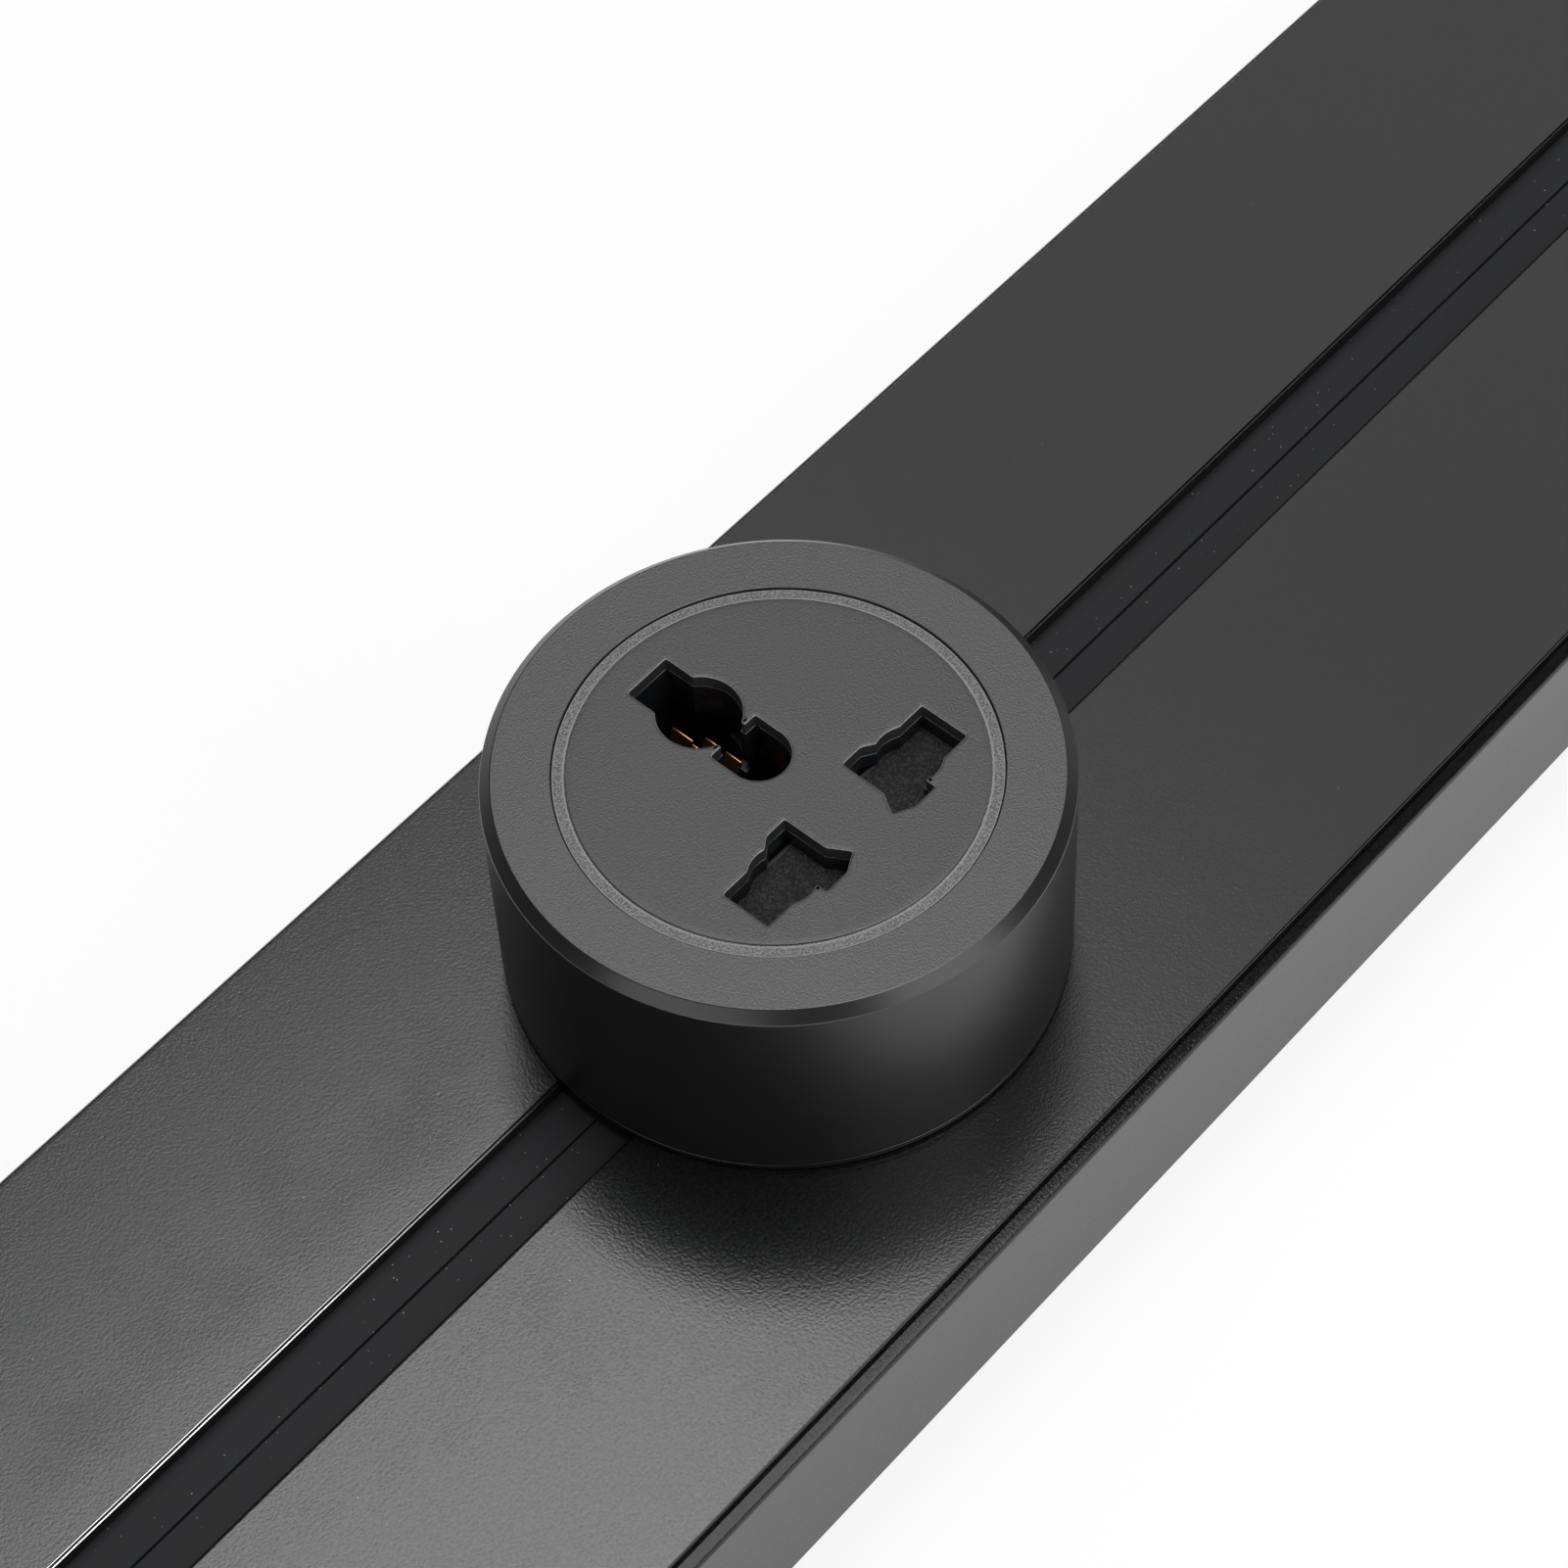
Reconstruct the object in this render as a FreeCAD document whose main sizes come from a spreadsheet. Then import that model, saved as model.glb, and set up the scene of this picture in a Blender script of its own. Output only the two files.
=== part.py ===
import FreeCAD, Part
import math
import os
import Sketcher
from FreeCAD import Rotation, Vector

doc = FreeCAD.newDocument("PowerTrackSocket")
sheet = doc.addObject("Spreadsheet::Sheet", "Sizes")


class Size:
    """A length that knows its number and the sheet expression that gives it."""

    def __init__(self, number, text):
        self.number = number
        self.text = text

    def __add__(self, other):
        other = as_size(other)
        return Size(self.number + other.number, "(%s + %s)" % (self.text, other.text))

    def __sub__(self, other):
        other = as_size(other)
        return Size(self.number - other.number, "(%s - %s)" % (self.text, other.text))

    def __mul__(self, other):
        other = as_size(other)
        return Size(self.number * other.number, "(%s * %s)" % (self.text, other.text))

    def __truediv__(self, other):
        other = as_size(other)
        return Size(self.number / other.number, "(%s / %s)" % (self.text, other.text))

    def __neg__(self):
        return Size(-self.number, "(0 - %s)" % self.text)

    __radd__ = __add__

    def __rmul__(self, other):
        return as_size(other) * self

    def __rsub__(self, other):
        return as_size(other) - self


def as_size(value):
    """Give a plain number the form of a size."""
    if isinstance(value, Size):
        return value
    return Size(float(value), "(%.6f)" % value)


def root(value):
    """The square root of a size."""
    return Size(math.sqrt(value.number), "sqrt(%s)" % value.text)


def size(name, number):
    """Write one driving dimension into the sheet and hand it back."""
    size.row += 1
    sheet.set("A%d" % size.row, name)
    sheet.set("B%d" % size.row, repr(float(number)))
    sheet.setAlias("B%d" % size.row, name)
    return Size(float(number), "Sizes." + name)


size.row = 0
ZERO = as_size(0.0)

# Track: overall form
TRACK_LENGTH = size("track_length", 400.0)
TRACK_WIDTH = size("track_width", 83.0)
TRACK_HEIGHT = size("track_height", 22.0)
SLOT_WIDTH = size("slot_width", 9.66)
PLATE_THICKNESS = size("plate_thickness", 1.8)
WALL_DROP = size("wall_drop", 1.0)
SIDE_WALL = size("side_wall", 1.2)
FLOOR_WALL = size("floor_wall", 2.0)
PLATE_GAP = size("plate_gap", 0.25)
SLOT_ROUNDING = size("slot_rounding", 0.7)
CORNER_ROUNDING = size("corner_rounding", 0.45)
CUT_SPARE = size("cut_spare", 1.0)
CAP_THICKNESS = size("cap_thickness", 2.5)
HALF_WIDTH = TRACK_WIDTH / 2
SLOT_HALF = SLOT_WIDTH / 2
PLATE_UNDER = TRACK_HEIGHT - PLATE_THICKNESS
WALL_TOP = TRACK_HEIGHT - WALL_DROP
WALL_INNER = HALF_WIDTH - SIDE_WALL
RUN_START = CAP_THICKNESS - TRACK_LENGTH / 2
RUN_LENGTH = TRACK_LENGTH - CAP_THICKNESS * 2

# Track: inner webs, ledges and the earth rail
WEB_PLACE = size("web_place", 17.5)
WEB_WALL = size("web_wall", 1.5)
LEDGE_WIDTH = size("ledge_width", 1.6)
LEDGE_DEPTH = size("ledge_depth", 1.4)
RAIL_WIDTH = size("rail_width", 12.0)
RAIL_DEPTH = size("rail_depth", 13.4)
STRIP_MARGIN = size("strip_margin", 1.0)
STRIP_THICKNESS = size("strip_thickness", 0.8)
LEG_THICKNESS = size("leg_thickness", 1.2)
LEG_DEPTH = size("leg_depth", 3.2)
LEG_PLAY = size("leg_play", 0.15)
BARB = size("barb", 0.5)
WEB_OUTER = WEB_PLACE + WEB_WALL
RAIL_HEIGHT = TRACK_HEIGHT - RAIL_DEPTH
STRIP_TOP = RAIL_HEIGHT + STRIP_THICKNESS

# Track: fixing holes, screw ports and end cap screws
FIXING_SPACING_X = size("fixing_spacing_along", 300.0)
FIXING_SPACING_Y = size("fixing_spacing_across", 54.0)
FIXING_RADIUS = size("fixing_radius", 2.25)
PORT_RADIUS = size("port_radius", 2.7)
PORT_BORE = size("port_bore", 1.25)
PORT_INSET = size("port_inset", 1.1)
PORT_SINK = size("port_sink", 0.3)
CAP_SCREW_LENGTH = size("cap_screw_length", 12.0)
CAP_SCREW_HEAD = size("cap_screw_head", 2.3)
CAP_HEAD_DEPTH = size("cap_head_depth", 1.4)
SCREW_PLAY = size("screw_play", 0.05)
CAP_PLUG_DEPTH = size("cap_plug_depth", 4.0)
CAP_PLUG_PLAY = size("cap_plug_play", 0.3)
CAP_PLUG_HEIGHT = size("cap_plug_height", 8.0)
PORT_PLACE = WALL_INNER - PORT_INSET - PORT_RADIUS
PORT_HEIGHT = FLOOR_WALL + PORT_RADIUS - PORT_SINK

# Track: seal lips
LIP_GAP = size("lip_gap", 0.06)
LIP_TIP = size("lip_tip", 0.8)
LIP_ROOT = size("lip_root", 1.1)
LIP_LAP = size("lip_lap", 3.17)
BEAD_WIDTH = size("bead_width", 1.2)
BEAD_DEPTH = size("bead_depth", 1.1)
LIP_CLEARANCE = size("lip_clearance", 0.3)
LIP_REACH = SLOT_HALF + LIP_LAP

# Track: bus liners and bars
LINER_SETBACK = size("liner_setback", 0.47)
LINER_TOP = size("liner_top", 1.6)
LINER_WALL = size("liner_wall", 1.5)
LINER_FLOOR = size("liner_floor", 1.3)
LINER_SINK = size("liner_sink", 1.6)
LINER_RIB = size("liner_rib", 1.2)
RIB_REACH = size("liner_rib_reach", 1.2)
BAR_THICKNESS = size("bar_thickness", 1.6)
BAR_HEIGHT = size("bar_height", 4.2)
LINER_EDGE = SLOT_HALF + LINER_SETBACK
LINER_UNDER = PLATE_UNDER - LIP_ROOT - LINER_TOP
LINER_BOTTOM = RAIL_HEIGHT - LINER_SINK
LINER_FOOT = RAIL_WIDTH / 2 + LINER_SINK
BAR_FACE = WEB_PLACE - LINER_WALL - BAR_THICKNESS

# Track: feed end
INLET_RADIUS = size("inlet_radius", 3.6)
GROMMET_BORE = size("grommet_bore", 3.0)
GROMMET_RIM = size("grommet_rim", 1.6)
GROMMET_LIP = size("grommet_lip", 1.0)
BLOCK_LENGTH = size("block_length", 16.0)
BLOCK_SETBACK = size("block_setback", 6.0)
BLOCK_PLAY = size("block_play", 0.2)
TERMINAL_PITCH = size("terminal_pitch", 9.0)
WIRE_HALF = size("wire_hole_half", 1.7)
WIRE_DEPTH = size("wire_depth", 11.0)
TERMINAL_HEAD = size("terminal_head", 2.2)
TERMINAL_SETBACK = size("terminal_setback", 8.0)
TERMINAL_DROP = size("terminal_drop", 0.6)
TERMINAL_SLOT = size("terminal_slot", 0.7)
INLET_HEIGHT = (STRIP_TOP + LINER_UNDER) / 2
BLOCK_FLOOR = STRIP_TOP + BLOCK_PLAY
BLOCK_TOP = LINER_UNDER - BLOCK_PLAY
BLOCK_HALF = BAR_FACE - BLOCK_PLAY
WIRE_HEIGHT = (BLOCK_FLOOR + BLOCK_TOP) / 2 - TERMINAL_DROP

# Adapter: outer form, heights counted from the top of the track
SOCKET_RADIUS = size("socket_radius", 30.0)
SOCKET_HEIGHT = size("socket_height", 28.2)
CHAMFER_RUN = size("chamfer_run", 1.2)
CHAMFER_DROP = size("chamfer_drop", 1.15)
GROOVE_OUTER = size("groove_outer", 22.75)
GROOVE_WIDTH = size("groove_width", 1.45)
GROOVE_DEPTH = size("groove_depth", 0.25)
HOUSING_WALL = size("housing_wall", 2.2)
RIM_THICKNESS = size("rim_thickness", 1.6)
FACE_THICKNESS = size("face_thickness", 1.5)
FLANGE_LAP = size("flange_lap", 1.75)
FLANGE_THICKNESS = size("flange_thickness", 1.1)
FLANGE_WIDTH = size("flange_width", 4.5)
SEAT_PLAY = size("seat_play", 0.1)
HOUSING_INNER = SOCKET_RADIUS - HOUSING_WALL
GROOVE_INNER = GROOVE_OUTER - GROOVE_WIDTH
GROOVE_FLOOR = SOCKET_HEIGHT - GROOVE_DEPTH
FLANGE_RADIUS = GROOVE_OUTER + FLANGE_LAP
FLANGE_INNER = FLANGE_RADIUS - FLANGE_WIDTH
FLANGE_TOP = SOCKET_HEIGHT - RIM_THICKNESS
FLANGE_UNDER = FLANGE_TOP - FLANGE_THICKNESS
FACE_UNDER = SOCKET_HEIGHT - FACE_THICKNESS

# Foot
FOOT_GLIDE = size("foot_glide", 0.1)
FOOT_RIM_LIFT = size("foot_rim_lift", 0.45)
FOOT_RIM_WIDTH = size("foot_rim_width", 7.5)
FOOT_TOP = size("foot_top", 1.1)
FOOT_GAP = size("foot_gap", 0.15)
TONGUE_PLAY = size("tongue_play", 0.23)
TONGUE_LENGTH = size("tongue_length", 34.0)
TONGUE_CLEARANCE = size("tongue_clearance", 0.3)
STOP_RADIUS = size("stop_radius", 18.0)
STOP_WIDTH = size("stop_width", 2.0)
STOP_HEIGHT = size("stop_height", 1.1)
STOP_PLAY = size("stop_play", 0.2)
STOP_DIAGONAL = STOP_RADIUS * math.sqrt(0.5)
TONGUE_HALF = SLOT_HALF - TONGUE_PLAY
TONGUE_DEPTH = TRACK_HEIGHT - LINER_UNDER - TONGUE_CLEARANCE

# Base cover and its screws
COVER_THICKNESS = size("cover_thickness", 2.0)
COVER_PLAY = size("cover_play", 0.2)
BOSS_RADIUS = size("boss_radius", 3.0)
BOSS_SINK = size("boss_sink", 0.2)
PILOT_RADIUS = size("pilot_radius", 1.0)
PILOT_SPARE = size("pilot_spare", 2.0)
SCREW_LENGTH = size("screw_length", 10.0)
SCREW_HEAD = size("screw_head", 2.2)
SCREW_HEAD_DEPTH = size("screw_head_depth", 1.2)
COVER_UNDER = FOOT_TOP + FOOT_GAP
COVER_TOP = COVER_UNDER + COVER_THICKNESS
BOSS_PLACE = HOUSING_INNER - BOSS_RADIUS + BOSS_SINK

# Key column
KEY_CLEARANCE = size("key_clearance", 0.33)
NECK_INSET = size("neck_inset", 0.7)
NECK_PLAY = size("neck_play", 0.05)
COLLAR_RADIUS = size("collar_radius", 8.0)
COLLAR_THICKNESS = size("collar_thickness", 2.0)
KEY_TIP = size("key_tip", 1.5)
KEY_HEIGHT = size("key_height", 4.8)
KEY_PLAY = size("key_play", 0.4)
WING_THICKNESS = size("wing_thickness", 0.6)
WING_WIDTH = size("wing_width", 2.4)
WING_PLACE = size("wing_place", 2.3)
PAD_WIDTH = size("pad_width", 4.8)
PAD_HEIGHT = size("pad_height", 2.8)
WING_GAP = size("wing_gap", 0.1)
PLUNGER_RADIUS = size("plunger_radius", 1.82)
PLUNGER_PIN = size("plunger_pin", 1.2)
PLUNGER_PLAY = size("plunger_play", 0.05)
PLUNGER_SHOULDER = size("plunger_shoulder", 1.4)
PLUNGER_GAP = size("plunger_gap", 0.1)
BORE_FLOOR = size("bore_floor", 1.0)
SPRING_WIRE = size("spring_wire", 0.2)
SPRING_PLAY = size("spring_play", 0.3)
EARTH_TURNS = size("earth_turns", 5.5)
KEY_HALF_WIDTH = SLOT_HALF - KEY_CLEARANCE
NECK_RADIUS = KEY_HALF_WIDTH - NECK_INSET
KEY_TOP = LINER_UNDER - KEY_PLAY - TRACK_HEIGHT
KEY_BOTTOM = KEY_TOP - KEY_HEIGHT
WING_REACH = BAR_FACE - WING_GAP
KEY_REACH = WING_REACH - KEY_TIP
PAD_MIDDLE = KEY_BOTTOM + KEY_HEIGHT / 2
BAR_MIDDLE = PAD_MIDDLE + TRACK_HEIGHT
COLLAR_TOP = COVER_TOP + COLLAR_THICKNESS

# Apertures in the face, measured from the socket's axis
EARTH_SLOT_HALF = size("earth_slot_half", 2.85)
EARTH_SLOT_TOP = size("earth_slot_top", 17.7)
LOBE_PLACE = size("lobe_place", 10.6)
LOBE_RADIUS = size("lobe_radius", 4.45)
NECK_HALF = size("aperture_neck_half", 1.75)
DEE_TOP = size("dee_top", 6.0)
DEE_HALF = size("dee_half", 3.35)
DEE_PLACE = size("dee_place", 2.6)
PIN_LINE = size("pin_line", 9.0)
PIN_SLOT_OUTER = size("pin_slot_outer", 15.0)
PIN_SLOT_HALF = size("pin_slot_half", 2.9)
ROUND_PLACE = size("round_place", 9.5)
ROUND_RADIUS = size("round_radius", 3.5)
BLADE_OUTER_TOP = size("blade_outer_top", 7.1)
BULGE_START = size("bulge_start", 8.4)
BLADE_OUTER = size("blade_outer", 8.2)
BLADE_TOP = size("blade_top", 4.75)
BLADE_INNER = size("blade_inner", 4.4)
BLADE_BOTTOM = size("blade_bottom", 13.55)
SLANT_TIP_X = size("slant_tip_x", 3.0)
SLANT_TIP_Y = size("slant_tip_y", 12.4)
SLANT_FOOT = size("slant_foot", 5.2)
SLANT_START = size("slant_start", 10.1)
APERTURE_STEP = size("aperture_step", 0.1)

# Shutter and its guide
SHUTTER_DEPTH = size("shutter_depth", 3.5)
SHUTTER_THICKNESS = size("shutter_thickness", 2.7)
SHUTTER_COVER = size("shutter_cover", 0.3)
SHUTTER_BACK = size("shutter_back", 0.6)
SHUTTER_EDGE = size("shutter_edge", 0.2)
SHUTTER_BEVEL = size("shutter_bevel", 0.65)
SHUTTER_TRAVEL = size("shutter_travel", 6.2)
SHUTTER_PLAY = size("shutter_play", 0.1)
NOTCH_WIDTH = size("notch_width", 3.2)
NOTCH_DEPTH = size("notch_depth", 6.0)
SHUTTER_TURNS = size("shutter_turns", 6.0)
GUIDE_SIDE = size("guide_side", 1.6)
GUIDE_BACK = size("guide_back", 2.2)
GUIDE_GAP = size("guide_gap", 1.2)
GUIDE_START = size("guide_start", 15.0)
SHUTTER_TOP = SOCKET_HEIGHT - SHUTTER_DEPTH
SHUTTER_UNDER = SHUTTER_TOP - SHUTTER_THICKNESS
SHUTTER_HALF = PIN_SLOT_OUTER + SHUTTER_COVER
SHUTTER_NEAR = BLADE_TOP + SHUTTER_EDGE
SHUTTER_FAR = BLADE_BOTTOM + SHUTTER_BACK
CAVITY_HALF = SHUTTER_HALF + SHUTTER_PLAY
CAVITY_FAR = SHUTTER_FAR + SHUTTER_TRAVEL + SHUTTER_PLAY * 2

# Contact carrier and contacts
CARRIER_WALL = size("carrier_wall", 3.0)
TAIL_THICKNESS = size("tail_thickness", 0.6)
TAIL_WIDTH = size("tail_width", 1.8)
TAIL_RISE = size("tail_rise", 1.15)
PIN_PLACE = size("pin_place", 11.1)
CHAMBER_LENGTH = size("chamber_length", 7.4)
CHAMBER_PLAY = size("chamber_play", 0.8)
CLIP_LENGTH = size("clip_length", 5.0)
CLIP_HALF = size("clip_half", 2.7)
CLIP_PINCH = size("clip_pinch", 1.5)
CLIP_DROP = size("clip_drop", 0.9)
CLIP_FLARE = size("clip_flare", 4.0)
LEAF_THICKNESS = size("leaf_thickness", 0.6)
EARTH_HALF = size("earth_half", 3.2)
EARTH_PINCH = size("earth_pinch", 0.9)
EARTH_DEPTH = size("earth_leaf_depth", 4.0)
EARTH_SHORT = size("earth_short_leaf_drop", 4.2)
EARTH_LEAN = size("earth_lean", 6.2)
EARTH_SHORT_LEAN = size("earth_short_lean", 5.6)
EARTH_TIP = size("earth_tip", 0.3)
EARTH_NEAR = size("earth_near", 5.4)
EARTH_FAR = size("earth_far", 13.8)
EARTH_ROOM = size("earth_room", 1.4)
WELL_PLAY = size("well_play", 0.4)
WELL_RADIUS = size("well_radius", 4.0)
WELL_WALL = size("well_wall", 0.8)
WELL_DEPTH = size("well_depth", 8.0)
WELL_SLOT_HALF = size("well_slot_half", 1.5)
WELL_LEG = size("well_leg", 0.9)
CARRIER_TOP = SHUTTER_UNDER - SHUTTER_PLAY
CARRIER_RADIUS = FLANGE_INNER
CARRIER_CAVITY = CARRIER_RADIUS - CARRIER_WALL
TAIL_UNDER = COLLAR_TOP + TAIL_RISE
TAIL_CEILING = TAIL_UNDER + TAIL_THICKNESS
CLIP_TOP = CARRIER_TOP - CLIP_DROP
CLIP_WAIST = CLIP_TOP - CLIP_FLARE
EARTH_TOP = SOCKET_HEIGHT - EARTH_DEPTH
EARTH_SHORT_TOP = EARTH_TOP - EARTH_SHORT
EARTH_KNEE = EARTH_TOP - EARTH_LEAN
EARTH_SHORT_KNEE = EARTH_SHORT_TOP - EARTH_SHORT_LEAN


def new_body(label):
    """Start a piece that is built from sketches."""
    body = doc.addObject("PartDesign::Body", label)
    body.Label = label
    return body


def on_track_top(piece):
    """Stand a piece of the adapter at its height over the track."""
    piece.setExpression("Placement.Base.z", TRACK_HEIGHT.text)
    return piece


def new_sketch(body, role, offset=ZERO):
    """Add a sketch on one of the body's origin planes."""
    sketch = body.newObject("Sketcher::SketchObject", body.Name + "_sketch")
    plane = [item for item in body.Origin.OriginFeatures if item.Role == role][0]
    sketch.AttachmentSupport = (plane, [""])
    sketch.MapMode = "FlatFace"
    sketch.AttachmentOffset = FreeCAD.Placement(Vector(0, 0, offset.number), Rotation())
    sketch.setExpression("AttachmentOffset.Base.z", offset.text)
    return sketch


def arc_between(start, end, radius):
    """A short arc between two points; a negative radius bends it the other way."""
    chord = end - start
    reach = math.sqrt(max(radius * radius - chord.Length * chord.Length / 4, 0))
    side = Vector(-chord.y, chord.x, 0).normalize()
    centre = (start + end) * 0.5 + side * (reach if radius > 0 else -reach)
    first, last = (start, end) if radius > 0 else (end, start)
    from_angle = math.atan2(first.y - centre.y, first.x - centre.x)
    to_angle = math.atan2(last.y - centre.y, last.x - centre.x)
    circle = Part.Circle(centre, Vector(0, 0, 1), abs(radius))
    return Part.ArcOfCircle(circle, from_angle, to_angle)


def place_point(sketch, geometry, point, x, y):
    """Tie one point of a sketch to its two sizes."""
    for kind, axis, value in (("DistanceX", -2, x), ("DistanceY", -1, y)):
        if value.number == 0:
            sketch.addConstraint(Sketcher.Constraint("PointOnObject", geometry, point, axis))
        else:
            index = sketch.addConstraint(Sketcher.Constraint(kind, -1, 1, geometry, point, value.number))
            sketch.setExpression("Constraints[%d]" % index, value.text)


def trace(sketch, outline):
    """Draw a closed outline; a third value on a point makes the line that ends there an arc."""
    corners = [[as_size(value) for value in corner] for corner in outline]
    edges = []
    for index, start in enumerate(corners):
        end = corners[(index + 1) % len(corners)]
        from_point = Vector(start[0].number, start[1].number, 0)
        to_point = Vector(end[0].number, end[1].number, 0)
        if len(end) == 2:
            geometry = sketch.addGeometry(Part.LineSegment(from_point, to_point))
            edges.append((geometry, 1, 2))
            continue
        geometry = sketch.addGeometry(arc_between(from_point, to_point, end[2].number))
        edges.append((geometry, 1, 2) if end[2].number > 0 else (geometry, 2, 1))
    for index, (geometry, first, last) in enumerate(edges):
        follower, follower_first, unused = edges[(index + 1) % len(edges)]
        sketch.addConstraint(Sketcher.Constraint("Coincident", geometry, last, follower, follower_first))
    for (geometry, first, last), corner in zip(edges, corners):
        place_point(sketch, geometry, first, corner[0], corner[1])
    for index, (geometry, first, last) in enumerate(edges):
        corner = corners[(index + 1) % len(corners)]
        if len(corner) == 3:
            radius = corner[2] if corner[2].number > 0 else -corner[2]
            constraint = sketch.addConstraint(Sketcher.Constraint("Radius", geometry, radius.number))
            sketch.setExpression("Constraints[%d]" % constraint, radius.text)
    return sketch


def trace_circle(sketch, x, y, radius):
    """Draw one circle."""
    centre = Vector(x.number, y.number, 0)
    geometry = sketch.addGeometry(Part.Circle(centre, Vector(0, 0, 1), radius.number))
    place_point(sketch, geometry, 3, x, y)
    index = sketch.addConstraint(Sketcher.Constraint("Radius", geometry, radius.number))
    sketch.setExpression("Constraints[%d]" % index, radius.text)
    return sketch


def extend(body, kind, sketch, length):
    """Pad or pocket a sketch by a length."""
    feature = body.newObject("PartDesign::" + kind, body.Name + "_" + kind.lower())
    feature.Profile = sketch
    feature.Length = length.number
    feature.setExpression("Length", length.text)
    body.Tip = feature
    return feature


def turn(body, kind, sketch, angle=360.0):
    """Revolve or groove a sketch round the vertical axis."""
    feature = body.newObject("PartDesign::" + kind, body.Name + "_" + kind.lower())
    feature.Profile = sketch
    feature.ReferenceAxis = (sketch, ["V_Axis"])
    feature.Angle = angle
    body.Tip = feature
    return feature


def along_track(label, *outlines):
    """A piece with one section along the track, between the end caps."""
    body = new_body(label)
    for outline in outlines:
        sketch = trace(new_sketch(body, "YZ_Plane", RUN_START), outline)
        extend(body, "Pad", sketch, RUN_LENGTH)
    return body


def revolved(label, outline):
    """A piece turned round the vertical axis from a half section."""
    body = new_body(label)
    turn(body, "Revolution", trace(new_sketch(body, "XZ_Plane"), outline))
    return body


def slab(body, outline, bottom, top):
    """Add a plate with the given plan to a piece."""
    sketch = trace(new_sketch(body, "XY_Plane", bottom), outline)
    return extend(body, "Pad", sketch, top - bottom)


def sink(body, outline, bottom, top):
    """Cut a hole with the given plan out of a piece, from the top height down."""
    sketch = trace(new_sketch(body, "XY_Plane", top), outline)
    return extend(body, "Pocket", sketch, top - bottom)


def drill(body, places, radius, bottom, top):
    """Cut round upright holes."""
    sketch = new_sketch(body, "XY_Plane", top)
    for x, y in places:
        trace_circle(sketch, x, y, radius)
    return extend(body, "Pocket", sketch, top - bottom)


def post(body, places, radius, bottom, top):
    """Add round upright posts."""
    sketch = new_sketch(body, "XY_Plane", bottom)
    for x, y in places:
        trace_circle(sketch, x, y, radius)
    return extend(body, "Pad", sketch, top - bottom)


def rectangle(left, right, near, far):
    """The four corners of a rectangle."""
    return [(left, near), (right, near), (right, far), (left, far)]


def bind(item, **sizes):
    """Tie the properties of a primitive to sizes."""
    for name, value in sizes.items():
        setattr(item, name, value.number)
        item.setExpression(name, value.text)


def put(item, x, y, z, rotation=None):
    """Place a primitive."""
    item.Placement = FreeCAD.Placement(Vector(x.number, y.number, z.number), rotation or Rotation())
    for axis, value in zip("xyz", (x, y, z)):
        item.setExpression("Placement.Base." + axis, value.text)
    return item


def block(name, x_range, y_range, z_range):
    """A box between two corners."""
    item = doc.addObject("Part::Box", name)
    ranges = [(as_size(low), as_size(high)) for low, high in (x_range, y_range, z_range)]
    lengths = [high - low for low, high in ranges]
    bind(item, Length=lengths[0], Width=lengths[1], Height=lengths[2])
    return put(item, ranges[0][0], ranges[1][0], ranges[2][0])


def rod(name, x, y, z, radius, height, rotation=None):
    """A cylinder, upright unless it is rotated."""
    item = doc.addObject("Part::Cylinder", name)
    bind(item, Radius=radius, Height=height)
    return put(item, x, y, z, rotation)


def peg(name, x, y, z, radius, height, rotation=None):
    """A twelve sided prism, used for small screws and the holes that take them."""
    item = doc.addObject("Part::Prism", name)
    item.Polygon = 12
    bind(item, Circumradius=radius, Height=height)
    return put(item, x, y, z, rotation)


def join(name, *items):
    """Fuse several solids into one."""
    result = doc.addObject("Part::MultiFuse", name)
    result.Shapes = list(items)
    result.Refine = True
    return result


def subtract(name, base, tool):
    """Cut one solid out of another."""
    result = doc.addObject("Part::Cut", name)
    result.Base = base
    result.Tool = tool
    result.Refine = True
    return result


def overlap(name, *items):
    """Keep only what several solids share."""
    result = doc.addObject("Part::MultiCommon", name)
    result.Shapes = list(items)
    return result


def group(name, items):
    """Keep like pieces together as separate solids in one node."""
    result = doc.addObject("Part::Compound", name)
    result.Links = items
    return result


def mirrored(outline, side):
    """Put an outline drawn for the positive side on either side."""
    if side > 0:
        return outline
    flipped = []
    for corner in outline:
        flipped.append((-as_size(corner[0]),) + tuple(corner[1:2]) + tuple(-as_size(r) for r in corner[2:]))
    return flipped


def symmetric(half):
    """Close an outline drawn for the positive side with its mirror image."""
    other = []
    for index in range(len(half) - 1, -1, -1):
        corner = half[index]
        if as_size(corner[0]).number == 0:
            continue
        arc = tuple(half[index + 1][2:]) if index + 1 < len(half) else ()
        other.append((-as_size(corner[0]), corner[1]) + arc)
    return half + other


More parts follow.
